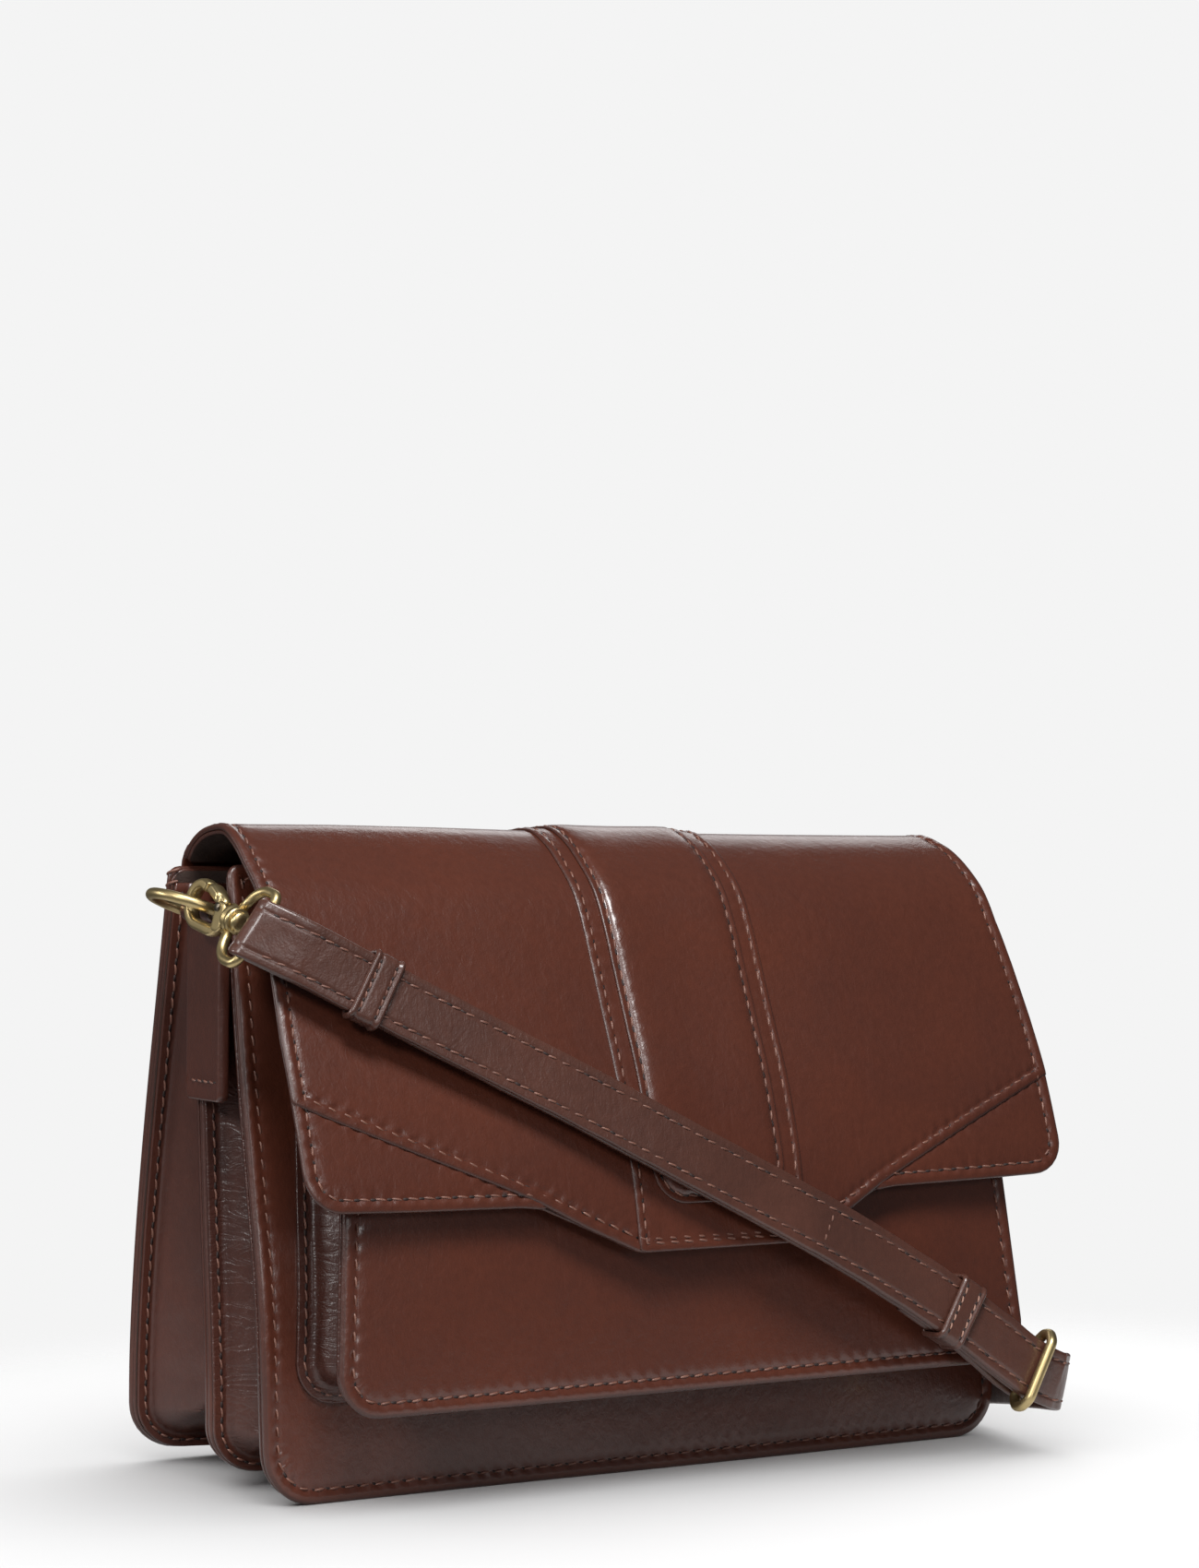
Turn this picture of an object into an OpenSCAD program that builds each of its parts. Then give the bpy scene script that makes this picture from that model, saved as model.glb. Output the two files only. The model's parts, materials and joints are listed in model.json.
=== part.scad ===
// Flap-over crossbody purse: three leather panels joined by two folded
// gussets, a front pocket, a magnetic flap, and a strap on two snap hooks.
// +X is right seen from the front, the front faces -Y, +Z is up. The origin
// is the middle of the divider panel's bottom edge.

/* [Bag] */
// Width of the panels
panel_w = 255; // [240:5:270]
// Radius of the panels' bottom corners
corner_r = 15; // [12:1:18]
// Thickness of a panel's leather, rim included
panel_t = 2.6; // [2.4:0.1:2.8]
// Thickness of the boards in the panels
board_t = 1; // [0.8:0.1:1.2]
// Thickness of the linings
lining_t = 0.6; // [0.4:0.1:0.8]
// Depth of the gussets' inward fold
fold_depth = 11; // [8:1:12]

/* [Pocket] */
// Width of the pocket at its foot
pocket_w = 236; // [220:2:240]
// Height of the pocket's foot above the base
pocket_z = 27; // [24:1:32]

/* [Flap] */
// Thickness of the flap's leather
flap_t = 1.7; // [1.5:0.1:1.9]
// Thickness of the flap's lining
flap_lining_t = 1.2; // [1:0.1:1.4]
// Half width of the flat centre strip
wide_strip = 30; // [28:1:34]
// Half width of the padded centre strip
narrow_strip = 23; // [20:1:26]
// Thickness of the padded centre strip
pad_t = 2.4; // [2:0.2:3]

/* [Strap] */
// Width of the strap
strap_w = 17.5; // [16:0.5:18]
// Thickness of the strap
strap_t = 2.2; // [2:0.1:2.4]
// Length of a keeper along the strap
keeper_l = 9.5; // [8:0.5:12]

/* [Metalwork] */
// Wire radius of the D-rings and the slide buckle
wire_r = 1.6; // [1.5:0.05:1.7]
// Half width between the D-ring's legs, to the middle of the wire
ring_half = 11.6; // [11.4:0.1:12]
// Rise of the left D-ring from level
ring_rise = 20; // [16:1:24]
// Drop of the right D-ring from level
ring_drop = 35; // [30:1:40]

/* [Hidden] */
$fn = 48;

leather = "#4a241a";
leather_light = "#5a3024";
lining_color = "#3b2a24";
board_color = "#8a7862";
brass = "#a8925a";

half_w = panel_w / 2;
// Side profiles [y, z] of the panels' outer faces, from the foot up
back_line = [[52, 0], [52, 30], [49.5, 60], [45, 90], [36.5, 135], [28.5, 176]];
divider_line = [[-1.6, 0], [-1.4, 25], [0.4, 50], [4, 90], [6, 120], [7.5, 168]];
front_line = [[-37, 0], [-35.3, 20], [-32, 55], [-25.6, 88], [-20, 117], [-12, 165], [-9, 182]];
pocket_line = [[-63, pocket_z], [-61, 45], [-57, 80], [-54, 104]];
pocket_top_w = 2 * 113;
// Side profile of the flap's middle layer line, from the hinge forward and down
hinge = [27.5, 178.5];
flap_line = [hinge, [23, 182.8], [16, 186], [7, 187.6], [-3, 187.6], [-10.5, 184],
    [-17.5, 178], [-27, 169], [-33.5, 158], [-38.6, 147], [-45.6, 132], [-53.5, 115],
    [-60, 97], [-63.6, 84], [-67, 68]];
flap_total = flap_t + flap_lining_t;
// The flap's left and right edges [distance from the middle, z], from the crest down
flap_edge = [[123.5, 192], [125.5, 169], [127, 147], [128.5, 115], [129, 96]];
flap_edge_right = [[123.5, 192], [128.5, 176], [130, 160], [131.5, 130], [132, 96]];
flap_foot_z = 83;
flap_foot_r = 10;
flap_shoulder = [60, 82];
tongue_z = 68;
seam_outer_z = 113;

// ---- vectors, offsets and sweeps ----
function unit(v) = v / norm(v);
function across(v) = [v[1], -v[0]];
function bend(p, i) = i == 0 ? unit(across(p[1] - p[0]))
    : i == len(p) - 1 ? unit(across(p[i] - p[i - 1]))
    : let (a = unit(across(p[i] - p[i - 1])), b = unit(across(p[i + 1] - p[i])))
        (a + b) / (1 + a * b);
// A polyline moved sideways by d
function moved(p, d) = [for (i = [0:len(p) - 1]) p[i] + d * bend(p, i)];
function flipped(p) = [for (i = [len(p) - 1:-1:0]) p[i]];
// Points of an arc round c, from angle a0 to a1
function arc(c, r, a0, a1, n = 6) =
    [for (i = [0:n]) let (a = a0 + (a1 - a0) * i / n) c + r * [cos(a), sin(a)]];
function mirrored(p) = [for (q = flipped(p)) [-q[0], q[1]]];
// y of a profile at height z
function y_at(p, z) = let (s = [for (i = [0:len(p) - 2])
        if (z >= p[i][1] && z <= p[i + 1][1]) i])
    len(s) == 0 ? (z < p[0][1] ? p[0][0] : p[len(p) - 1][0])
    : let (a = p[s[0]], b = p[s[0] + 1]) a[0] + (b[0] - a[0]) * (z - a[1]) / (b[1] - a[1]);

// A sheet between two offsets of a side profile, across the whole width
module bent_sheet(p, d0, d1) {
    rotate([90, 0, 90])
        linear_extrude(400, center = true)
            polygon(concat(moved(p, d0), flipped(moved(p, d1))));
}

// A front outline carried through the bag from front to back
module through() {
    rotate([90, 0, 0]) linear_extrude(300, center = true) children();
}

// A closed solid from rings of n points each
module skin(rings) {
    n = len(rings[0]);
    m = len(rings);
    sides = [for (i = [0:m - 2]) for (j = [0:n - 1]) let (k = (j + 1) % n)
        each [[i * n + j, i * n + k, (i + 1) * n + k],
              [i * n + j, (i + 1) * n + k, (i + 1) * n + j]]];
    lids = [[for (j = [n - 1:-1:0]) j], [for (j = [0:n - 1]) (m - 1) * n + j]];
    polyhedron([for (r = rings) each r], concat(sides, lids));
}

// ---- panels ----
// Outline [x, z] of a panel, inset all round by g, with round bottom corners
module outline(w, top, foot, r, g = 0, top_w = 0) {
    hw = w / 2 - g;
    tw = (top_w == 0 ? w : top_w) / 2 - g;
    c = r - g;
    half = concat([[tw, top - g]], arc([hw - c, foot + g + c], c, 0, -90));
    polygon(concat(half, mirrored(half)));
}

module body_outline(top, g = 0) outline(panel_w, top, 0, corner_r, g);

module pocket_outline(g = 0)
    outline(pocket_w, 104, pocket_z, 12, g, pocket_top_w);

// Leather with a recess for the board on its inner side, which is at offset
// in * t; in is +1 where the outer face looks forward and -1 where it looks back
module leather_panel(p, top, in) {
    difference() {
        intersection() {
            bent_sheet(p, 0, in * panel_t);
            through() body_outline(top);
        }
        intersection() {
            bent_sheet(p, in * (panel_t - board_t), in * (panel_t + 1));
            through() body_outline(top, 7);
        }
    }
}

module board(p, top, in) {
    intersection() {
        bent_sheet(p, in * (panel_t - board_t), in * panel_t);
        through() body_outline(top, 7);
    }
}

module lining_sheet(p, top, in) {
    intersection() {
        bent_sheet(p, in * panel_t, in * (panel_t + lining_t));
        through() body_outline(top, 1.2);
    }
}

back_top = 176;
divider_top = 167;
front_top = 178;

module back_panel() color(leather) leather_panel(back_line, back_top, -1);
module back_board() color(board_color) board(back_line, back_top, -1);
module back_lining() color(lining_color) lining_sheet(back_line, back_top, -1);
module divider_panel() color(leather) leather_panel(divider_line, divider_top, 1);
module divider_board() color(board_color) board(divider_line, divider_top, 1);
module divider_lining() color(lining_color) lining_sheet(divider_line, divider_top, 1);
module front_panel() color(leather) leather_panel(front_line, front_top, 1);
module front_board() color(board_color) board(front_line, front_top, 1);
module front_lining() color(lining_color) lining_sheet(front_line, front_top, 1);

module pocket_panel() color(leather) intersection() {
    bent_sheet(pocket_line, 0, panel_t - lining_t);
    through() pocket_outline();
}
module pocket_lining() color(lining_color) intersection() {
    bent_sheet(pocket_line, panel_t - lining_t, panel_t);
    through() pocket_outline(1.2);
}

// ---- gussets ----
function falling(v) = len(v) < 2 ? v : let (m = v[0])
    concat(falling([for (q = v) if (q > m) q]), [m], falling([for (q = v) if (q < m) q]));
// Heights where either profile bends, from the top down
function levels(a, b, top, foot) = falling(concat([top, foot],
    [for (q = concat(a, b)) if (q[1] > foot + 1 && q[1] < top - 1) q[1]]));
// Path [x, z, outward x, outward z] down the left side, along the foot, up the right
function gusset_path(hw, top, foot, r, heights, taper = 0) = concat(
    [for (z = heights) if (z > foot + r)
        [-hw + taper * (z - foot - r) / (top - foot - r), z, -1, 0]],
    [[-hw, foot + r, -1, 0]],
    [for (a = [15:15:75]) [-hw + r - r * cos(a), foot + r - r * sin(a), -cos(a), -sin(a)]],
    [for (i = [0:4]) [(-hw + r) * (1 - i / 2), foot, 0, -1]],
    [for (a = [75:-15:15]) [hw - r + r * cos(a), foot + r - r * sin(a), cos(a), -sin(a)]],
    [[hw, foot + r, 1, 0]],
    [for (i = [len(heights) - 1:-1:0]) let (z = heights[i]) if (z > foot + r)
        [hw - taper * (z - foot - r) / (top - foot - r), z, 1, 0]]);

// One folded strip between a front and a rear profile, with a fold inwards
module gusset(hw, top, foot, r, front, rear, depth, taper = 0, t = 1.8) {
    path = gusset_path(hw, top, foot, r, levels(front, rear, top, foot + r), taper);
    color(leather_light) skin([for (q = path) let (
        o = [q[2], q[3]], m = (y_at(front, q[1]) + y_at(rear, q[1])) / 2,
        at = function(d, y) [q[0] - o[0] * d, y, q[1] - o[1] * d],
        on = function(d, line) at(d, y_at(line, q[1] - o[1] * d)))
        [on(0, front), at(depth, m), on(0, rear), on(t, rear), at(depth + t, m),
            on(t, front)]]);
}

module rear_gusset()
    gusset(half_w - 2.2, 164, 2.2, corner_r - 2.2,
        moved(divider_line, panel_t + lining_t + 0.02),
        moved(back_line, -panel_t - lining_t - 0.02), fold_depth);

module front_gusset()
    gusset(half_w - 2.2, 160, 2.2, corner_r - 2.2,
        moved(front_line, panel_t + lining_t + 0.02), moved(divider_line, -0.02), fold_depth);

module pocket_gusset()
    gusset(pocket_w / 2 - 2, 100, pocket_z + 2, 10,
        moved(pocket_line, panel_t + 0.02), moved(front_line, -0.02), 7, 4);

// ---- flap ----
// The strips lie a little to the right, more so at the top
function strip_x(z) = 3.2 + 3 * (z - tongue_z) / 127;

module flap_outline() {
    half = function(edge) concat(edge,
        arc([edge[len(edge) - 1][0] - flap_foot_r, flap_foot_z + flap_foot_r],
            flap_foot_r, 0, -90),
        [flap_shoulder]);
    tongue = [for (s = [1, -1]) [strip_x(tongue_z) + s * (wide_strip - 1), tongue_z]];
    polygon(concat(half(flap_edge_right), tongue, mirrored(half(flap_edge))));
}

// The corner below the slanting seam, on the side s
module corner_area(s)
    polygon([[s * 140, seam_outer_z + 3], [s * flap_shoulder[0], flap_shoulder[1] - 0.4],
        [s * flap_shoulder[0], 60], [s * 140, 60]]);

module flap_layer(d0, d1) {
    mid = flap_t - flap_total / 2;
    bent_sheet(flap_line, d0 - mid, d1 - mid);
}

// Rolled edge of the leather along the hinge
module hinge_roll(r) translate([0, hinge[0], hinge[1]])
    rotate([0, 90, 0]) cylinder(h = 2 * flap_edge[0][0], r = r, center = true);

module flap_outer() color(leather) {
    difference() {
        intersection() {
            flap_layer(flap_t, 0);
            through() flap_outline();
        }
        for (s = [-1, 1]) through() corner_area(s);
    }
    hinge_roll(flap_total / 2 - 0.06);
}

module flap_lining() color(lining_color) difference() {
    intersection() {
        flap_layer(0, -flap_lining_t);
        through() flap_outline();
    }
    hinge_roll(flap_total / 2);
}

module flap_corner(s) color(leather) intersection() {
    flap_layer(flap_t - 0.5, 0);
    through() intersection() {
        flap_outline();
        corner_area(s);
    }
}

module strip_area(half, foot)
    polygon([[strip_x(195) - half, 195], [strip_x(195) + half, 195],
        [strip_x(foot) + half - 1, foot], [strip_x(foot) - half + 1, foot]]);

module flap_wide_strip() color(leather) intersection() {
    flap_layer(flap_t + 1.2, flap_t);
    through() strip_area(wide_strip, tongue_z);
}

module flap_narrow_strip() color(leather) intersection() {
    flap_layer(flap_t + 1.2 + pad_t, flap_t + 1.2);
    through() {
        half = concat([[narrow_strip, 195]], arc([narrow_strip - 13, 93], 12, 0, -90));
        polygon([for (q = concat(half, mirrored(half))) [q[0] + strip_x(q[1]), q[1]]]);
    }
}

// ---- magnetic snap ----
snap_z = 84;
snap_y = -62.1;
snap_tilt = 13.75;
module at_snap() translate([0, snap_y, snap_z]) rotate([90 - snap_tilt, 0, 0]) children();
pocket_tilt = 6.5;
module at_socket() translate([0, -56.6, snap_z]) rotate([90 - pocket_tilt, 0, 0]) children();

module snap_stud() color(brass) at_snap() {
    translate([0, 0, -1.3]) cylinder(h = 1, r = 8);
    translate([0, 0, -4]) cylinder(h = 2.9, r = 2.4);
}
module snap_socket() color(brass) at_socket() difference() {
    translate([0, 0, 0.1]) cylinder(h = 2.7, r = 9);
    translate([0, 0, 0.8]) cylinder(h = 3, r = 4.6);
}
// Backing washer of the socket, inside the pocket
module snap_washer() color("silver") at_socket() difference() {
    translate([0, 0, -4.2]) cylinder(h = 0.9, r = 8);
    translate([0, 0, -5]) cylinder(h = 3, r = 2.5);
}

// ---- side tabs and D-rings ----
tab_t = 3.8;
ring_x = half_w + tab_t;
ring_y = -1;
ring_z = 164.4;
tab_z = 111.5;
bore_play = 0.08;
barrel_r = 2.9;

module side_tab(s) color(leather) translate([s * ring_x, ring_y, 0]) difference() {
    union() {
        translate([s > 0 ? -tab_t : 0, -11, tab_z]) cube([tab_t, 22, ring_z - tab_z]);
        translate([0, 9, ring_z]) rotate([90, 0, 0]) cylinder(h = 18, r = barrel_r);
    }
    translate([0, 20, ring_z]) rotate([90, 0, 0]) cylinder(h = 40, r = wire_r + bore_play);
    for (e = [-1, 1]) translate([-4, e > 0 ? 9 : -19, ring_z - 2.6]) cube([8, 10, 8]);
}

module rod(a, b, r) {
    d = b - a;
    translate(a) rotate([0, acos(d[2] / norm(d)), atan2(d[1], d[0])])
        cylinder(h = norm(d), r = r);
}

// A wire through points, with round joints
module wire(points, r) {
    for (i = [0:len(points) - 2]) rod(points[i], points[i + 1], r);
    for (i = [1:len(points) - 2]) translate(points[i]) sphere(r);
}

// D-ring lying level: its bar runs along Y at the origin, its bow towards +X
module d_ring() color(brass) {
    leg = 4;
    wire([[leg, -ring_half, 0], [0, -ring_half, 0], [0, ring_half, 0], [leg, ring_half, 0]],
        wire_r);
    translate([leg, 0, 0]) rotate([0, 0, -90])
        rotate_extrude(angle = 180) translate([ring_half, 0]) circle(wire_r);
}

ring_turn_left = [0, -ring_rise, 180];
ring_turn_right = [0, ring_drop, 0];
module d_ring_left() translate([-ring_x, ring_y, ring_z]) rotate(ring_turn_left) d_ring();
module d_ring_right() translate([ring_x, ring_y, ring_z]) rotate(ring_turn_right) d_ring();

// ---- snap hooks ----
// Local frame: +X runs from the D-ring to the strap, the eye lies in XZ
hook_t = 4;
eye_r = 4.2;
frame_t = 3.2;
gate_at = [16.5, 1.9];
pin_r = 0.8;
post_r = 2;
loop_x = 22.35;
bar_x = 34.5;
loop_wire = 1.5;
turn_left = [-9, 12.5, -86];
turn_right = [30, 63, 82];
// The loops turn on their posts, to lie along the strap
loop_turn_left = [-31, 12.5, -86];
loop_turn_right = [0, 63, 82];
place_left = [-ring_x - 5.66, ring_y - 7.32, ring_z + 3.22];
place_right = [ring_x + 7.96, ring_y + 8.99, ring_z - 1.61];

module on_left() translate(place_left) rotate(turn_left) children();
module on_right() translate(place_right) rotate(turn_right) children();

module flat_in_xz(t) rotate([90, 0, 0]) linear_extrude(t, center = true) children();

module hook() color(brass) {
    outer_r = eye_r + frame_t;
    difference() {
        union() {
            flat_in_xz(hook_t) difference() {
                union() {
                    translate([eye_r, 0]) circle(outer_r);
                    translate([eye_r, -outer_r]) square([11.8, 2 * outer_r]);
                }
                translate([eye_r, 0]) circle(eye_r);
                translate([eye_r, -eye_r]) square([10.8, 2 * eye_r]);
                polygon([[6.2, 1], [6.2, 4.4], [7.2, 7], [7.2, 11], [18.2, 11], [18.2, 1]]);
            }
            translate([15, -2.8, -5]) cube([5, 5.6, 8.6]);
            translate([19.5, 0, 0]) rotate([0, 90, 0]) cylinder(h = 5.2, r = post_r);
            translate([24.6, 0, 0]) rotate([0, 90, 0]) cylinder(h = 2, r = 3.1);
        }
        translate([12, -1.35, -0.5]) cube([6.6, 2.7, 9]);
        translate([gate_at[0], 5, gate_at[1]]) rotate([90, 0, 0]) cylinder(h = 10, r = pin_r);
    }
}

module gate() color(brass) difference() {
    union() {
        flat_in_xz(hook_t) polygon([[6.7, 4.4], [7.75, 7], [9.4, 7.1], [13.2, 5.6], [13.2, 2.2]]);
        flat_in_xz(2.4) polygon([[13, 2.3], [13, 5.7], [17.2, 3.7], [15.4, 0.6]]);
        translate([gate_at[0], 1.2, gate_at[1]]) rotate([90, 0, 0]) cylinder(h = 2.4, r = 1.9);
    }
    translate([gate_at[0], 5, gate_at[1]]) rotate([90, 0, 0]) cylinder(h = 10, r = pin_r + 0.05);
}

module gate_pin() color(brass) translate([gate_at[0], 0, gate_at[1]]) rotate([90, 0, 0]) {
    cylinder(h = 5.8, r = pin_r, center = true);
    for (s = [-1, 1]) translate([0, 0, s * 3.1]) cylinder(h = 0.6, r = 1.3, center = true);
}

module gate_spring() color("silver") translate([14.4, -1, -0.45]) cube([3.8, 2, 0.35]);

module swivel_loop() color(brass) {
    difference() {
        union() {
            translate([20.4, 0, 0]) rotate([0, 90, 0]) cylinder(h = 3.9, r = 3.9);
            for (s = [-1, 1]) {
                arm = [[loop_x, 0, s * 2.9], [24.4, 0, s * 8.6], [27.6, 0, s * 11.1],
                    [32.9, 0, s * 11.1], [bar_x, 0, s * 9.7]];
                for (i = [0:3]) rod(arm[i], arm[i + 1], loop_wire);
                for (i = [1:4]) translate(arm[i]) sphere(loop_wire + 0.02);
            }
            translate([bar_x, 0, -9.7]) cylinder(h = 19.4, r = loop_wire);
        }
        translate([15, 0, 0]) rotate([0, 90, 0]) cylinder(h = 10, r = post_r + 0.06);
    }
}

module hook_left() on_left() hook();
module hook_right() on_right() hook();
module gate_left() on_left() gate();
module gate_right() on_right() gate();
module gate_pin_left() on_left() gate_pin();
module gate_pin_right() on_right() gate_pin();
module gate_spring_left() on_left() gate_spring();
module gate_spring_right() on_right() gate_spring();
module swivel_loop_left() translate(place_left) rotate(loop_turn_left) swivel_loop();
module swivel_loop_right() translate(place_right) rotate(loop_turn_right) swivel_loop();

// ---- strap ----
// Turned by the same three angles as rotate()
function turned(v, a) = let (
    x1 = [v[0], v[1] * cos(a[0]) - v[2] * sin(a[0]), v[1] * sin(a[0]) + v[2] * cos(a[0])],
    x2 = [x1[0] * cos(a[1]) + x1[2] * sin(a[1]), x1[1], -x1[0] * sin(a[1]) + x1[2] * cos(a[1])])
    [x2[0] * cos(a[2]) - x2[1] * sin(a[2]), x2[0] * sin(a[2]) + x2[1] * cos(a[2]), x2[2]];
bar_left = place_left + turned([bar_x, 0, 0], turn_left);
bar_right = place_right + turned([bar_x, 0, 0], turn_right);
up_left = turned([0, 0, 1], loop_turn_left);
up_right = turned([0, 0, 1], loop_turn_right);

// Route of the front length: a place, then the direction across the strap
front_route = [
    [[-124.5, -49.2, 154.7], up_left],
    [[-104, -54, 143.9], [0.45, 0, 0.89]],
    [[-74, -60, 128.6], [0.45, 0.06, 0.89]],
    [[-41.3, -66, 112.2], [0.45, 0.1, 0.88]],
    [[-4.4, -72.4, 92.8], [0.46, 0.1, 0.88]],
    [[34.5, -74.6, 73.1], [0.48, 0.1, 0.87]],
    [[60, -75.2, 59], [0.49, 0.08, 0.87]],
    [[83, -75.5, 45.3], [0.5, 0.06, 0.86]],
    [[98, -76, 35], [0.5, 0.05, 0.86]],
    [[110.8, -76.5, 26.3], [0.48, 0.04, 0.87]],
    [[120.5, -75.4, 22], [0.42, 0, 0.9]]];
// Route of the free length, round the side and behind the bag to the right hook
free_route = [
    [[120.5, -75.4, 22], [0.42, 0, 0.9]],
    [[125, -72.3, 21], [0.28, 0.08, 0.95]],
    [[125.9, -65.5, 20.2], [0.12, 0.1, 0.98]],
    [[125.8, -55, 19.4], [0.03, 0.08, 1]],
    [[128.9, -43, 18.4], [0, 0.05, 1]],
    [[132, -30, 16.8], [0, 0.05, 1]],
    [[134.6, -10, 13.4], [0, 0.1, 1]],
    [[135.4, 18, 9.9], [0, 0.05, 1]],
    [[134, 45, 9.4], [0, 0, 1]],
    [[127, 63, 9.4], [0, 0, 1]],
    [[112, 73, 9.4], [0, 0, 1]],
    [[90, 77, 9.4], [0, 0, 1]],
    [[50, 78, 9.4], [0, 0, 1]],
    [[0, 78, 9.4], [0, 0, 1]],
    [[-35, 80, 9.4], [0, 0, 1]],
    [[-52, 89, 9.4], [0, 0, 1]],
    [[-55, 103, 9.4], [0, 0, 1]],
    [[-44, 115, 9.4], [0, 0, 1]],
    [[-20, 120, 9.4], [0, 0, 1]],
    [[20, 121, 9.4], [0, 0, 1]],
    [[60, 120, 9.5], [0, 0, 1]],
    [[92, 115, 11], [0.1, 0.05, 0.99]],
    [[116, 103, 17], [0.2, 0.1, 0.97]],
    [[132, 86, 30], [0.25, 0.4, 0.88]],
    [[140, 68, 50], [0.2, 0.65, 0.73]],
    [[142, 53, 76], [0.15, 0.8, 0.58]],
    [[141.5, 40, 101], [0.12, 0.86, 0.5]],
    [bar_right + [0.6, 1.4, -2.8] * 1.6, up_right]];

// Catmull-Rom points along a route, each a place and a direction across
function spline(a, b, c, d, t) = 0.5 * (2 * b + (c - a) * t + (2 * a - 5 * b + 4 * c - d) * t * t
    + (3 * b - a - 3 * c + d) * t * t * t);
function smooth(route, n) = let (e = len(route) - 1) concat(
    [for (i = [0:e - 1]) for (k = [0:n - 1]) let (
        a = route[max(i - 1, 0)], b = route[i], c = route[i + 1], d = route[min(i + 2, e)])
        [spline(a[0], b[0], c[0], d[0], k / n), spline(a[1], b[1], c[1], d[1], k / n)]],
    [route[e]]);
// A frame at each point: place, along, across, out of the strap's face
function frames(path) = [for (i = [0:len(path) - 1]) let (
    t = unit(path[min(i + 1, len(path) - 1)][0] - path[max(i - 1, 0)][0]),
    w = unit(path[i][1] - (path[i][1] * t) * t))
    [path[i][0], t, w, cross(t, w)]];
function shifted(f, d) = [for (q = f) [q[0] + d * q[3], q[1], q[2], q[3]]];

module ribbon(f) {
    a = strap_w / 2;
    b = strap_t / 2;
    color(leather_light) skin([for (q = f)
        [for (c = [[-a, -b], [a, -b], [a, b], [-a, b]]) q[0] + c[0] * q[2] + c[1] * q[3]]]);
}

function turn_of(q) = let (t = q[1], w = q[2], b = -asin(t[2]), c = atan2(t[1], t[0]),
    y0 = [-sin(c), cos(c), 0], z0 = [sin(b) * cos(c), sin(b) * sin(c), cos(b)])
    [atan2(-(w * y0), w * z0), b, c];
module on_strap(q) translate(q[0]) rotate(turn_of(q)) children();

// Half turn round a bar, from the under side to the upper side of the strap
fold_r = loop_wire + 0.25 + strap_t / 2;
function fold(centre, along, across, r, from, to, n) = [for (i = [0:n])
    let (a = from + (to - from) * i / n, out = cross(along, across))
    [centre + r * (-cos(a) * along + sin(a) * out), across]];

front_frames = frames(smooth(front_route, 3));
along_left = unit(front_route[0][0] + [0, 0.4, 0.2] - bar_left
    - fold_r * front_frames[0][3]);
start_fold = fold(bar_left, along_left, up_left, fold_r, 0, 75, 4);
module strap_front() ribbon(frames(concat(start_fold, smooth(front_route, 3))));

layer_gap = strap_t + 0.3;
buckle_i = 27;
rear_bar_i = 27;
buckle_q = front_frames[buckle_i];
out_dir = buckle_q[3];
front_bar = buckle_q[0] + out_dir * (strap_t / 2 + 0.25 + wire_r);
rear_bar = front_frames[rear_bar_i][0] + front_frames[rear_bar_i][1] * 1.5
    - out_dir * (layer_gap + strap_t / 2 + 0.25 + wire_r);
under_frames = shifted(front_frames, -layer_gap);
tail_r = wire_r + 0.25 + strap_t / 2;
under_path = concat(
    fold(bar_left, along_left, up_left, fold_r, 0, -100, 6),
    [for (i = [1:rear_bar_i]) [under_frames[i][0], under_frames[i][2]]],
    flipped(fold(rear_bar, -buckle_q[1], -buckle_q[2], tail_r, -90, 90, 8)),
    [for (i = [rear_bar_i - 1:-1:19])
        [front_frames[i][0] - (2 * layer_gap + max(0, i - 22) * 0.82) * front_frames[i][3],
            under_frames[i][2]]]);
module strap_under() ribbon(frames(under_path));
// The free length starts on the very face where the front run ends
free_frames = frames(smooth(free_route, 3));
module strap_free() ribbon(concat([front_frames[len(front_frames) - 1]],
    [for (i = [1:len(free_frames) - 1]) free_frames[i]]));

// A stitched band round n layers of the strap
module keeper(q, layers) color(leather_light) {
    t = 1.4;
    play = 0.25;
    low = -strap_t / 2 - (layers - 1) * layer_gap - play;
    high = strap_t / 2 + play;
    side = strap_w / 2 + play;
    on_strap(q) difference() {
        translate([-keeper_l / 2, -high - t, -side - t])
            cube([keeper_l, high - low + 2 * t, 2 * (side + t)]);
        translate([-keeper_l, -high, -side]) cube([2 * keeper_l, high - low, 2 * side]);
    }
}
module keeper_left() keeper(front_frames[3], 2);
module keeper_right() keeper(front_frames[21], 3);

// Slide buckle: a wire rectangle with cut corners, standing through the strap
module slide_buckle() color(brass) {
    gap = rear_bar - front_bar;
    span = norm(gap);
    w = buckle_q[2];
    cut = 2.6;
    long = strap_w / 2 + 0.6;
    tilt = turn_of([front_bar, unit(gap), unit(w - (w * unit(gap)) * unit(gap))]);
    corners = [[0, 0, -long], [0, 0, long], [cut, 0, long + cut],
        [span - cut, 0, long + cut], [span, 0, long], [span, 0, -long],
        [span - cut, 0, -long - cut], [cut, 0, -long - cut]];
    translate(front_bar) rotate(tilt)
        for (i = [0:7]) {
            rod(corners[i], corners[(i + 1) % 8], wire_r);
            translate(corners[i]) sphere(wire_r);
        }
}

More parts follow.
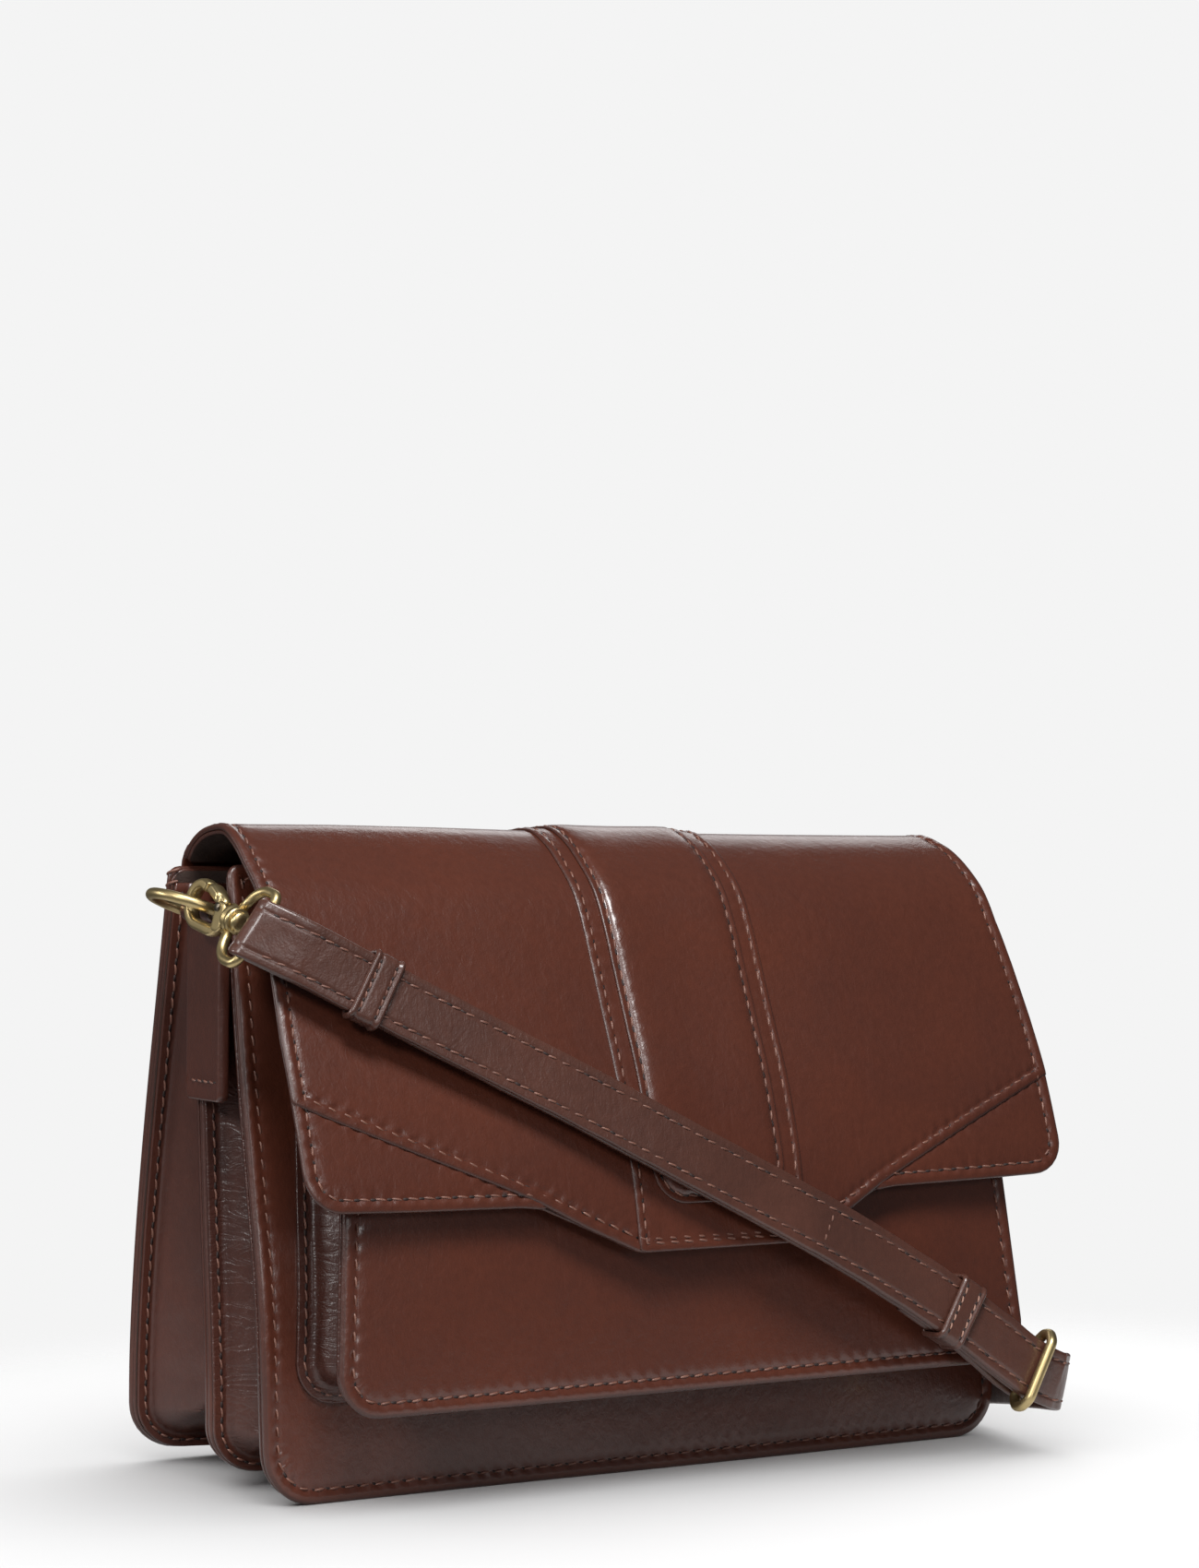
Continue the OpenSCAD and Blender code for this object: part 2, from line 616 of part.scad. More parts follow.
back_panel();
back_board();
back_lining();
rear_gusset();
divider_panel();
divider_board();
divider_lining();
front_gusset();
front_panel();
front_board();
front_lining();
pocket_gusset();
pocket_panel();
pocket_lining();
flap_outer();
flap_lining();
flap_corner(-1);  // flap_corner_left
flap_corner(1);  // flap_corner_right
flap_wide_strip();
flap_narrow_strip();
snap_stud();
snap_socket();
snap_washer();
side_tab(-1);  // side_tab_left
side_tab(1);  // side_tab_right
d_ring_left();
d_ring_right();
hook_left();
hook_right();
gate_left();
gate_right();
gate_pin_left();
gate_pin_right();
gate_spring_left();
gate_spring_right();
swivel_loop_left();
swivel_loop_right();
strap_front();
strap_under();
strap_free();
keeper_left();
keeper_right();
slide_buckle();
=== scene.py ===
"""Looks of the crossbody purse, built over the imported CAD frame. Lengths are worked in
millimetres and become metres where a mesh is made."""
import bpy
import json
import math
import numpy as np
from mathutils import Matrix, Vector
from mathutils.geometry import delaunay_2d_cdt

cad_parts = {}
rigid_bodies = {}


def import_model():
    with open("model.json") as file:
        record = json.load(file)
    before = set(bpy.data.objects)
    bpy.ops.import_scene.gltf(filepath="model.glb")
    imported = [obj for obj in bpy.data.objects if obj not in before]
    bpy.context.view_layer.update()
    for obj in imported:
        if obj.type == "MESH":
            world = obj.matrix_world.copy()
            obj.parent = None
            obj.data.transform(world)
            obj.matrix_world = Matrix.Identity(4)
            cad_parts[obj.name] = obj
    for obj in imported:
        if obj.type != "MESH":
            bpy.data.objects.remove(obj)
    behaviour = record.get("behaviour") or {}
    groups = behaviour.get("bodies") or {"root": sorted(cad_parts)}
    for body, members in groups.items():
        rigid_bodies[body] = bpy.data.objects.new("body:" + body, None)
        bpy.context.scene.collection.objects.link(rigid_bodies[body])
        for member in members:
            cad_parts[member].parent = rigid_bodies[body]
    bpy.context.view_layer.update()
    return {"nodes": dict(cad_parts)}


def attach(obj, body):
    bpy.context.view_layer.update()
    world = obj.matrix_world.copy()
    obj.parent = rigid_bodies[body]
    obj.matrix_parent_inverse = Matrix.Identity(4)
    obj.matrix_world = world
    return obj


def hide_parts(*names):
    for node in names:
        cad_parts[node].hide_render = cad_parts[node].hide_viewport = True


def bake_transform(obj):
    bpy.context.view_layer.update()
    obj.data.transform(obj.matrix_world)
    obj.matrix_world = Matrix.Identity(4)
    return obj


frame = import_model()
rng = np.random.default_rng(7)
scene = bpy.context.scene

# ---- camera
CAM_POS = (-0.5950, -0.9501, 0.1913)
CAM_AZ, CAM_EL, CAM_ROLL = -32.17, -0.87, 0.36
LENS, SENSOR, SHIFT_Y = 84.7, 36, -0.0131
cam_data = bpy.data.cameras.new("camera")
cam_data.sensor_width = SENSOR
cam_data.lens = LENS
cam_data.shift_y = SHIFT_Y
cam_data.clip_end = 50
cam = bpy.data.objects.new("camera", cam_data)
scene.collection.objects.link(cam)
a, e = math.radians(CAM_AZ), math.radians(CAM_EL)
back = Vector((math.sin(a) * math.cos(e), -math.cos(a) * math.cos(e), math.sin(e)))
cam.location = CAM_POS
cam.rotation_euler = back.to_track_quat("Z", "Y").to_euler()
cam.rotation_euler.rotate_axis("Z", math.radians(CAM_ROLL))
scene.camera = cam


# ---- lines and vectors
def unit(v):
    v = np.asarray(v, float)
    return v / np.maximum(np.linalg.norm(v, axis=-1, keepdims=True), 1e-9)


def sideways(t):
    """The directions a quarter turn left of directions in a plane."""
    return np.stack([-t[:, 1], t[:, 0]], -1)


def run_of(p):
    """The length run at each point of a line."""
    return np.r_[0, np.cumsum(np.linalg.norm(np.diff(p, axis=0), axis=1))]


def catmull(points, n=8):
    """A smooth line through points, n steps to each stretch."""
    p = np.asarray(points, float)
    m = len(p)
    out = []
    for i in range(m - 1):
        q = [p[max(i - 1, 0)], p[i], p[i + 1], p[min(i + 2, m - 1)]]
        for k in range(n):
            t = k / n
            out.append(0.5 * (2 * q[1] + (q[2] - q[0]) * t
                              + (2 * q[0] - 5 * q[1] + 4 * q[2] - q[3]) * t * t
                              + (3 * q[1] - q[0] - 3 * q[2] + q[3]) * t ** 3))
    return np.array(out + [p[-1]])


class Line:
    """A line by its length: where it is and which way it goes."""

    def __init__(self, points, closed=False):
        p = np.asarray(points, float)
        if closed:
            p = np.vstack([p, p[:1]])
        self.p = p
        self.closed = closed
        self.s = run_of(p)
        self.length = self.s[-1]

    def at(self, s):
        s = np.asarray(s, float)
        if self.closed:
            s = np.mod(s, self.length)
        return np.stack([np.interp(s, self.s, self.p[:, k]) for k in range(self.p.shape[1])], -1)

    def along(self, s, h=1.0):
        s = np.asarray(s, float)
        if self.closed:
            return unit(self.at(s + h) - self.at(s - h))
        lo, hi = np.clip(s - h, 0, self.length), np.clip(s + h, 0, self.length)
        return unit(self.at(hi) - self.at(lo))


def arc(c, r, a0, a1, n=7):
    t = np.radians(np.linspace(a0, a1, n))
    return [(c[0] + r * math.cos(x), c[1] + r * math.sin(x)) for x in t]


def mirrored(half):
    """A closed outline from its right half, listed from the top down."""
    return [tuple(q) for q in half] + [(-x, y) for x, y in reversed(half)]


def noise(x, y, z=0.0, seed=0):
    """Soft repeatable waviness, about -1 to 1."""
    r = np.random.default_rng(seed)
    v = 0.0
    for k in range(6):
        f = r.uniform(0.6, 1.6, 3)
        ph = r.uniform(0, 6.28, 3)
        v = v + np.sin(f[0] * x + ph[0] + 1.3 * np.sin(f[1] * y + ph[1])
                       + np.sin(f[2] * z + ph[2]))
    return v / 4


# ---- meshes
def make(name, verts, faces, mats, body="bag", replaces=(), face_mats=None, slot=None):
    """A smooth mesh object in the row frame from points in millimetres."""
    mesh = bpy.data.meshes.new(name)
    mesh.from_pydata((np.asarray(verts, float) * 0.001).tolist(), [],
                     [tuple(int(i) for i in f) for f in faces])
    for m in mats:
        mesh.materials.append(m)
    if face_mats is not None:
        mesh.polygons.foreach_set("material_index", np.asarray(face_mats, np.int32))
    mesh.polygons.foreach_set("use_smooth", np.full(len(mesh.polygons), True))
    mesh.update()
    obj = bpy.data.objects.new(name, mesh)
    scene.collection.objects.link(obj)
    if body:
        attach(obj, body)
    if replaces:
        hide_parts(*replaces)
    return obj


def solid(*args, **kw):
    """A closed mesh object whose faces look outwards."""
    obj = make(*args, **kw)
    m = obj.data
    v = np.array([x.co for x in m.vertices])
    volume = 0.0
    for p in m.polygons:
        q = v[list(p.vertices)]
        for k in range(1, len(q) - 1):
            volume += np.dot(q[0], np.cross(q[k], q[k + 1]))
    if volume < 0:
        m.flip_normals()
    return obj


def quads(rows, cols, wrap_rows=False, wrap_cols=True, turned=False, first=0):
    """Four-sided faces between rows of points, which are numbered row by row from first."""
    faces = []
    for i in range(rows if wrap_rows else rows - 1):
        a0, b0 = first + i * cols, first + (i + 1) % rows * cols
        for j in range(cols if wrap_cols else cols - 1):
            k = (j + 1) % cols
            f = (a0 + j, a0 + k, b0 + k, b0 + j)
            faces.append(f[:1] + f[:0:-1] if turned else f)
    return faces


def caps(rows, cols, turned=False, first=0):
    """The faces that close the first row and the last."""
    near = tuple(range(first, first + cols))
    far = tuple(range(first + (rows - 1) * cols, first + rows * cols))
    return [near, far[::-1]] if turned else [near[::-1], far]


def resampled(outline, step):
    """A closed outline at even steps, counter-clockwise."""
    p = np.asarray(outline, float)
    area = np.sum(p[:, 0] * np.roll(p[:, 1], -1) - np.roll(p[:, 0], -1) * p[:, 1])
    if area < 0:
        p = p[::-1]
    ln = Line(p, closed=True)
    n = max(12, int(round(ln.length / step)))
    return ln.at(np.arange(n) * ln.length / n)


def inset(loop, d):
    """A closed counter-clockwise outline moved inwards by d."""
    t0 = unit(loop - np.roll(loop, 1, axis=0))
    t1 = unit(np.roll(loop, -1, axis=0) - loop)
    n = unit(sideways(t0 + t1))
    c = np.clip(np.sum(n * sideways(t0), -1), 0.6, 1)
    return loop + d * n / c[:, None]


def distance_to(points, loop):
    """Distance of each point to a closed outline, and how far round it the nearest point is."""
    best, run, done = np.full(len(points), 1e9), np.zeros(len(points)), 0.0
    for p, q in zip(loop, np.roll(loop, -1, axis=0)):
        ab = q - p
        size = np.linalg.norm(ab)
        t = np.clip(((points - p) @ ab) / max(size * size, 1e-9), 0, 1)
        d = np.linalg.norm(points - (p + t[:, None] * ab), axis=1)
        run = np.where(d < best, done + t * size, run)
        best = np.minimum(best, d)
        done += size
    return best, run


def within(points, loop):
    x, y = points[:, 0], points[:, 1]
    inside = np.zeros(len(points), bool)
    for p, q in zip(loop, np.roll(loop, -1, axis=0)):
        cross = (p[1] > y) != (q[1] > y)
        xi = (q[0] - p[0]) * (y - p[1]) / (q[1] - p[1] + 1e-12) + p[0]
        inside ^= cross & (x < xi)
    return inside


RIM_STEPS = (1.0, 0.9, 0.62, 0.0, -0.62, -0.9, -1.0)


def slab(name, outline, d0, d1, place, mats, face=None, rim=0.9, loops=(), grid=4.0, step=2.4,
         **kw):
    """A sheet of leather with a rounded rim. The outline lies in (u, v), d0 and d1 are the
    depths of its inner and outer faces, place(u, v, d) bends it into the row frame, and
    face(u, v, dist, run) adds to the outer face's depth, run being how far round the outline a
    point is. The materials are the outer face's, the rim's and the inner face's."""
    base = resampled(outline, step)
    n = len(base)
    half, mid = (d1 - d0) / 2, (d1 + d0) / 2
    rings = [np.c_[inset(base, rim * (1 - math.sqrt(1 - q * q))), np.full(n, mid + q * half)]
             for q in RIM_STEPS]
    faces = quads(len(rings), n, turned=True)
    face_mats = [1] * len(faces)
    # the two faces: the rim's edge, loops of points inside it, and a grid in the middle
    pts = [inset(base, rim + x) for x in (0, *loops)]
    lo, hi = base.min(0), base.max(0)
    g = np.array([(x, y) for y in np.arange(lo[1] + grid * 0.5, hi[1], grid)
                  for x in np.arange(lo[0] + grid * 0.5, hi[0], grid)]).reshape(-1, 2)
    g = g[within(g, base)]
    g = g[distance_to(g, base)[0] > rim + max(loops, default=0) + grid * 0.45]
    edges = [(k * n + i, k * n + (i + 1) % n) for k in range(1, len(pts)) for i in range(n)]
    res = delaunay_2d_cdt([Vector(p) for p in np.vstack(pts + [g])], edges, [list(range(n))],
                          1, 1e-5)
    pv = np.array([tuple(v) for v in res[0]], float)
    dist, run = distance_to(pv, base)
    extra = face(pv[:, 0], pv[:, 1], dist, run) if face else np.zeros(len(pv))
    on_rim = {i: q for i, old in enumerate(res[3]) for q in old if q < n}
    front, rear, more = {}, {}, []
    for i, (u, v) in enumerate(pv):
        if i in on_rim:
            front[i], rear[i] = on_rim[i], (len(rings) - 1) * n + on_rim[i]
        else:
            front[i] = n * len(rings) + len(more)
            rear[i] = front[i] + 1
            more += [(u, v, d1 + extra[i]), (u, v, d0)]
    for f in res[2]:
        a0, b0, c0 = f[:3]
        if np.cross(pv[b0] - pv[a0], pv[c0] - pv[a0]) < 0:
            b0, c0 = c0, b0
        faces += [(front[a0], front[b0], front[c0]), (rear[a0], rear[c0], rear[b0])]
        face_mats += [0, 2]
    flat = np.vstack(rings + [np.array(more).reshape(-1, 3)])
    return solid(name, place(*flat.T), faces, mats, face_mats=face_mats, **kw), base


# ---- stitches
PITCH = 4.9
THREAD_RINGS, THREAD_SIDES, HOLE_SIDES = 7, 6, 8


class Sewing:
    """Stitches gathered for one mesh: threads, and the holes they go into, drawn as small discs
    whose near-black colour is painted shade.
    """

    def __init__(self):
        self.points, self.faces, self.mats, self.count = [], [], [], 0

    def add(self, points, faces, material):
        self.faces += [tuple(self.count + i for i in f) for f in faces]
        self.mats += [material] * len(faces)
        self.points.append(points)
        self.count += len(points)

    def row(self, line, place, depth, pitch=PITCH, size=3.5, r=0.36):
        """Adds a row of stitches along a line in (u, v). depth is a number or a function."""
        ln = line if isinstance(line, Line) else Line(line)
        depth_at = depth if callable(depth) else lambda u, v: np.full(np.shape(u), float(depth))
        room = ln.length - (0 if ln.closed else pitch * 0.6)
        n = max(1, int(round(room / pitch)))
        gap = room / n
        centres = (0 if ln.closed else pitch * 0.3) + gap * (np.arange(n) + 0.5)
        size = size * gap / pitch
        slant = 0.22 * rng.uniform(0.8, 1.2, n)
        # threads: each one slants a little, rises in the middle and sinks at its ends
        t = np.linspace(-1, 1, THREAD_RINGS)
        c = ln.at(centres[:, None] + t * size / 2)
        nrm = sideways(ln.along(centres))
        c = c + (slant[:, None] * t)[..., None] * nrm[:, None, :]
        rad = (r * np.sqrt(np.maximum(0.05, 1 - np.abs(t) ** 3)))[:, None]
        up = (0.22 * (1 - t * t) - r * 0.55 * np.abs(t) ** 3)[:, None]
        ang = np.linspace(0, 2 * math.pi, THREAD_SIDES, endpoint=False)
        uv = c[:, :, None, :] + (rad * np.cos(ang))[..., None] * nrm[:, None, None, :]
        d = depth_at(c[..., 0], c[..., 1])[:, :, None] + up + 0.85 * rad * np.sin(ang)
        faces = []
        for first in range(0, n * THREAD_RINGS * THREAD_SIDES, THREAD_RINGS * THREAD_SIDES):
            faces += quads(THREAD_RINGS, THREAD_SIDES, first=first)
            faces += caps(THREAD_RINGS, THREAD_SIDES, first=first)
        self.add(place(uv[..., 0].ravel(), uv[..., 1].ravel(), d.ravel()), faces, 0)
        # holes: small discs at the leather's surface, coloured near-black as painted shade for the
        # dark inside of each stitch hole
        m = HOLE_SIDES
        ang = np.linspace(0, 2 * math.pi, m, endpoint=False)[:, None]
        s = centres + gap / 2 if ln.closed else np.r_[centres - gap / 2, centres[-1] + gap / 2]
        c, tan = ln.at(s), ln.along(s)
        long, wide = (gap - size) / 2 + 0.35, 0.42
        uv = c[:, None, :] + long * np.cos(ang) * tan[:, None, :] \
            + wide * np.sin(ang) * sideways(tan)[:, None, :]
        d = np.repeat(depth_at(c[:, 0], c[:, 1]), m)
        sheets = [place(uv[..., 0].ravel(), uv[..., 1].ravel(), d + x) for x in (0.05, -0.25)]
        faces = []
        for i in range(len(c)):
            top_, low_ = [[(k * len(c) + i) * m + j for j in range(m)] for k in (0, 1)]
            faces += [tuple(top_), tuple(low_[::-1])]
            faces += [(top_[j], low_[j], low_[(j + 1) % m], top_[(j + 1) % m])
                      for j in range(m)]
        self.add(np.vstack(sheets), faces, 1)

    def sew(self, name, body, thread="thread"):
        return make(name, np.vstack(self.points), self.faces, [MAT[thread], MAT["hole_shade"]],
                    body=body, face_mats=self.mats)


def inset_line(base, d, keep=None):
    """The part of an outline's inset where keep(u, v) holds, as one open line, or all of it."""
    lp = inset(base, d)
    if keep is None:
        return Line(lp, closed=True)
    ok = np.array([keep(p[0], p[1]) for p in lp])
    n = len(lp)
    start = next(i for i in range(n) if ok[i] and not ok[i - 1])
    out = []
    for k in range(n):
        i = (start + k) % n
        if not ok[i]:
            break
        out.append(lp[i])
    return Line(np.array(out))


def tube(name, points, r, sides, closed=False, normal=None, mat="brass", **kw):
    """A round wire along points. The normal is the way its cross-section starts."""
    p = np.asarray(points, float)
    nxt, prv = np.roll(p, -1, axis=0), np.roll(p, 1, axis=0)
    if not closed:
        nxt[-1], prv[0] = p[-1], p[0]
    t = unit(nxt - prv)
    ref = np.linalg.svd(p - p.mean(0))[2][2] if normal is None else normal
    w = unit(ref - np.sum(ref * t, -1, keepdims=True) * t)
    ang = np.linspace(0, 2 * math.pi, sides, endpoint=False)[:, None]
    v = p[:, None, :] + r * (np.cos(ang) * w[:, None, :]
                             + np.sin(ang) * np.cross(t, w)[:, None, :])
    faces = quads(len(p), sides, wrap_rows=closed, turned=True)
    if not closed:
        faces += caps(len(p), sides, turned=True)
    return solid(name, v.reshape(-1, 3), faces, [MAT[mat]], **kw)


def merged(name, objs, body, replaces=(), slot=None):
    """Several pieces as one mesh object."""
    verts, faces, fm, mats = [], [], [], []
    b = 0
    for o in objs:
        m = o.data
        verts += [tuple(v.co) for v in m.vertices]
        idx = []
        for mt in m.materials:
            if mt not in mats:
                mats.append(mt)
            idx.append(mats.index(mt))
        for p in m.polygons:
            faces.append(tuple(b + i for i in p.vertices))
            fm.append(idx[p.material_index])
        b += len(m.vertices)
        bpy.data.objects.remove(o)
    return make(name, np.array(verts) * 1000, faces, mats, body=body, replaces=replaces,
                face_mats=fm, slot=slot)


def bevelled(obj, width):
    """Rounds a CAD piece's sharp edges with a modifier."""
    m = obj.modifiers.new("bevel", "BEVEL")
    m.width = width * 0.001
    m.segments = 3
    m.limit_method = "ANGLE"
    m.angle_limit = math.radians(30)
    m.harden_normals = False
    for p in obj.data.polygons:
        p.use_smooth = True
    w = obj.modifiers.new("normals", "WEIGHTED_NORMAL")
    w.keep_sharp = False


# ---- materials
MAT = {}


def add(nt, kind, inputs=None, **settings):
    """A shader node: its settings, then its inputs, each a value or another node's output."""
    n = nt.nodes.new("ShaderNode" + kind)
    for k, v in settings.items():
        setattr(n, k, v)
    for k, v in (inputs or {}).items():
        if isinstance(v, bpy.types.NodeSocket):
            nt.links.new(v, n.inputs[k])
        else:
            n.inputs[k].default_value = v
    return n


def empty_tree(owner):
    """The empty node tree of a material or a world."""
    owner.use_nodes = True
    owner.node_tree.nodes.clear()
    return owner.node_tree


def principled(nt, inputs):
    add(nt, "OutputMaterial", {0: add(nt, "BsdfPrincipled", inputs).outputs[0]})


def ramp(nt, src, stops):
    """A colour ramp. Each stop is a place and a colour or a grey."""
    r = add(nt, "ValToRGB", {0: src})
    while len(r.color_ramp.elements) < len(stops):
        r.color_ramp.elements.new(0.5)
    for el, (pos, col) in zip(r.color_ramp.elements, stops):
        el.position = pos
        el.color = (*col, 1) if isinstance(col, tuple) else (col, col, col, 1)
    return r.outputs[0]


def noise_node(nt, vec, scale, detail, rough, distort=0.0):
    return add(nt, "TexNoise", {"Scale": scale, "Detail": detail, "Roughness": rough,
                                "Distortion": distort, "Vector": vec}).outputs[0]


def mapped(nt, scale=(1, 1, 1)):
    at = add(nt, "TexCoord").outputs["Object"]
    return add(nt, "Mapping", {"Scale": scale, "Vector": at}).outputs[0]


def bump(nt, height, strength, distance, below=None):
    """A bump that is added to the one below it."""
    b = add(nt, "Bump", {"Strength": strength, "Distance": distance, "Height": height})
    if below is not None:
        nt.links.new(below, b.inputs["Normal"])
    return b.outputs[0]


def leather(name, dark, mid, light, rough, coat, grain=0.25, wrinkle=0.3, crease=None):
    """Polished leather: cloudy colour, pores, pebbling, soft waviness, short fine wrinkles and
    long creases, which are given by scale, strength and stretch."""
    MAT[name] = bpy.data.materials.new(name)
    nt = empty_tree(MAT[name])
    vec = mapped(nt)
    cloud = noise_node(nt, vec, 22, 5, 0.6, 0.4)
    pores = ramp(nt, noise_node(nt, vec, 420, 3, 0.6), [(0.3, 0.86), (0.7, 1.1)])
    mix = add(nt, "Mix", {"A": ramp(nt, cloud, [(0.3, dark), (0.52, mid), (0.74, light)]),
                          "B": pores, "Factor": 0.6}, data_type="RGBA", blend_type="MULTIPLY")
    pebbles = add(nt, "TexVoronoi", {"Scale": 1150, "Vector": vec}, feature="DISTANCE_TO_EDGE")
    waves = noise_node(nt, vec, 60, 4, 0.6, 0.6)
    wrinkles = noise_node(nt, mapped(nt, (1, 1, 0.55)), 430, 3, 0.65, 0.5)
    relief = bump(nt, pebbles.outputs["Distance"], grain, 0.00012)
    relief = bump(nt, waves, wrinkle, 0.0009, relief)
    relief = bump(nt, wrinkles, 0.4 + 0.6 * wrinkle, 0.00028, relief)
    if crease:
        scale, strength, stretch = crease
        folds = ramp(nt, noise_node(nt, mapped(nt, stretch), scale, 3, 0.5, 1.2),
                     [(0.44, 1.0), (0.5, 0.0), (0.56, 1.0)])
        relief = bump(nt, folds, strength, 0.0003, relief)
    principled(nt, {
        "Base Color": mix.outputs["Result"],
        "Roughness": ramp(nt, cloud, [(0.3, rough + 0.05), (0.7, rough - 0.04)]),
        "Coat Weight": coat, "Coat Roughness": 0.18, "Specular IOR Level": 0.5,
        "Normal": relief})


leather("leather", (0.058, 0.0145, 0.0076), (0.067, 0.0172, 0.0090), (0.078, 0.0205, 0.0108),
        rough=0.33, coat=0.3, wrinkle=0.36, crease=(30, 0.1, (1, 1, 0.35)))
leather("side_leather", (0.044, 0.0125, 0.0078), (0.058, 0.0165, 0.0100),
        (0.076, 0.022, 0.0135), rough=0.36, grain=0.3, coat=0.15, crease=(36, 0.15, (1, 1, 0.5)))
leather("gusset_leather", (0.036, 0.011, 0.0075), (0.050, 0.0155, 0.0102),
        (0.066, 0.021, 0.0135), rough=0.34, grain=0.45, wrinkle=0.5, coat=0.15,
        crease=(90, 0.28, (0.5, 0.5, 1.8)))
leather("strap_leather", (0.052, 0.019, 0.0128), (0.066, 0.0245, 0.0165), (0.084, 0.032, 0.022),
        rough=0.35, grain=0.4, wrinkle=0.4, coat=0.22, crease=(70, 0.10, (1.6, 1.6, 0.7)))
leather("edge", (0.038, 0.0115, 0.0075), (0.052, 0.016, 0.0102), (0.070, 0.022, 0.0140),
        rough=0.38, grain=0.15, wrinkle=0.35, coat=0.12)


def plain(name, stops, scale, rough, strength=0.1, bump_scale=900, distance=0.0001,
          metallic=0.0):
    """A plain surface with cloudy colour and one fine bump."""
    MAT[name] = bpy.data.materials.new(name)
    nt = empty_tree(MAT[name])
    vec = mapped(nt)
    n = noise_node(nt, vec, scale, 4, 0.6, 0.3)
    principled(nt, {
        "Base Color": ramp(nt, n, stops), "Metallic": metallic,
        "Roughness": ramp(nt, n, [(0.3, rough + 0.08), (0.7, rough - 0.06)]),
        "Normal": bump(nt, noise_node(nt, vec, bump_scale, 3, 0.6), strength, distance)})


plain("thread", [(0.3, (0.095, 0.036, 0.024)), (0.7, (0.19, 0.088, 0.062))],
      130, 0.42, 0.6, 2500, 0.0002)
plain("thread_pale", [(0.3, (0.22, 0.11, 0.08)), (0.7, (0.40, 0.23, 0.17))],
      130, 0.45, 0.6, 2500, 0.0002)
# the holes' near-black colour is painted shade, standing in for the dark inside of the stitch
# holes
plain("hole_shade", [(0.3, (0.012, 0.005, 0.004)), (0.7, (0.022, 0.009, 0.007))], 300, 0.7)
plain("lining", [(0.3, (0.030, 0.016, 0.012)), (0.7, (0.045, 0.024, 0.018))],
      200, 0.75, 0.5, 1400, 0.0003)
plain("brass", [(0.25, (0.36, 0.275, 0.13)), (0.5, (0.50, 0.39, 0.195)),
                (0.75, (0.62, 0.495, 0.26))], 90, 0.37, 0.04, 900, 0.00003, metallic=1.0)
plain("dark_metal", [(0.3, (0.10, 0.085, 0.065)), (0.7, (0.2, 0.17, 0.13))],
      200, 0.3, 0.1, 1500, 0.00006, metallic=1.0)
plain("steel", [(0.3, (0.45, 0.45, 0.44)), (0.7, (0.6, 0.6, 0.59))],
      200, 0.3, 0.1, 1500, 0.00006, metallic=1.0)

# a sheet's outer face, rim and inner face
LEATHER = [MAT["leather"], MAT["edge"], MAT["lining"]]
ALL_LEATHER = [MAT["leather"], MAT["edge"], MAT["leather"]]
LINING = [MAT["lining"], MAT["edge"], MAT["lining"]]

# ---- side profiles, as in the CAD
HALF_W, CORNER = 127.5, 15
BACK = [(52, 0), (52, 30), (49.5, 60), (45, 90), (36.5, 135), (28.5, 176)]
DIVIDER = [(-1.6, 0), (-1.4, 25), (0.4, 50), (4, 90), (6, 120), (7.5, 168)]
FRONT = [(-37, 0), (-35.3, 20), (-32, 55), (-25.6, 88), (-20, 117), (-12, 165), (-9, 182)]
POCKET = [(-63, 27), (-61, 45), (-57, 80), (-54, 104)]
FLAP = [(27.5, 178.5), (23, 182.8), (16, 186), (7, 187.6), (-3, 187.6), (-10.5, 184), (-17.5, 178),
        (-27, 169), (-33.5, 158), (-38.6, 147), (-45.6, 132), (-53.5, 115), (-60, 97), (-63.6, 84),
        (-67, 68)]


def profile(points):
    """The y of a side profile at a height, smoothed, and carried on straight past its ends."""
    c = catmull(points, 10)
    z, y = c[:, 1], c[:, 0]
    s0, s1 = (y[1] - y[0]) / (z[1] - z[0]), (y[-1] - y[-2]) / (z[-1] - z[-2])

    def at(q):
        q = np.asarray(q, float)
        above = np.where(q > z[-1], y[-1] + (q - z[-1]) * s1, np.interp(q, z, y))
        return np.where(q < z[0], y[0] + (q - z[0]) * s0, above)

    return at


back_y, divider_y, front_y, pocket_y = map(profile, (BACK, DIVIDER, FRONT, POCKET))
BACK_LIFT, DIVIDER_LIFT = 3.8, 4.2
SIDES = (("left", -1), ("right", 1))


def corner_lift(u, v, lift):
    """How much a panel's left bottom end curls up off the ground."""
    a0 = np.clip((-np.asarray(u) - 45) / 82, 0, 1)
    b0 = np.clip(1 - np.asarray(v) / 75, 0, 1)
    return lift * a0 * a0 * (3 - 2 * a0) * b0 * b0


def upright(y_of, forward, wave, seed, lift):
    """Places (x, z, depth) on an upright panel whose depth grows forward (1) or back (-1)."""

    def place(u, v, d):
        v = np.asarray(v) + corner_lift(u, v, lift)
        slope = (y_of(v + 1) - y_of(v - 1)) / 2
        n = forward / np.sqrt(1 + slope ** 2)
        y = y_of(v) + wave * noise(u * 0.03, v * 0.035, 0, seed)
        return np.stack([u + 0 * v, y - d * n, v + d * (slope * n)], -1)

    return place


def panel_outline(hw, top, foot, r, top_hw, ear=3.5):
    return mirrored(arc((top_hw - ear, top - ear), ear, 90, 0, 5)
                    + arc((hw - r, foot + r), r, 0, -90, 9))


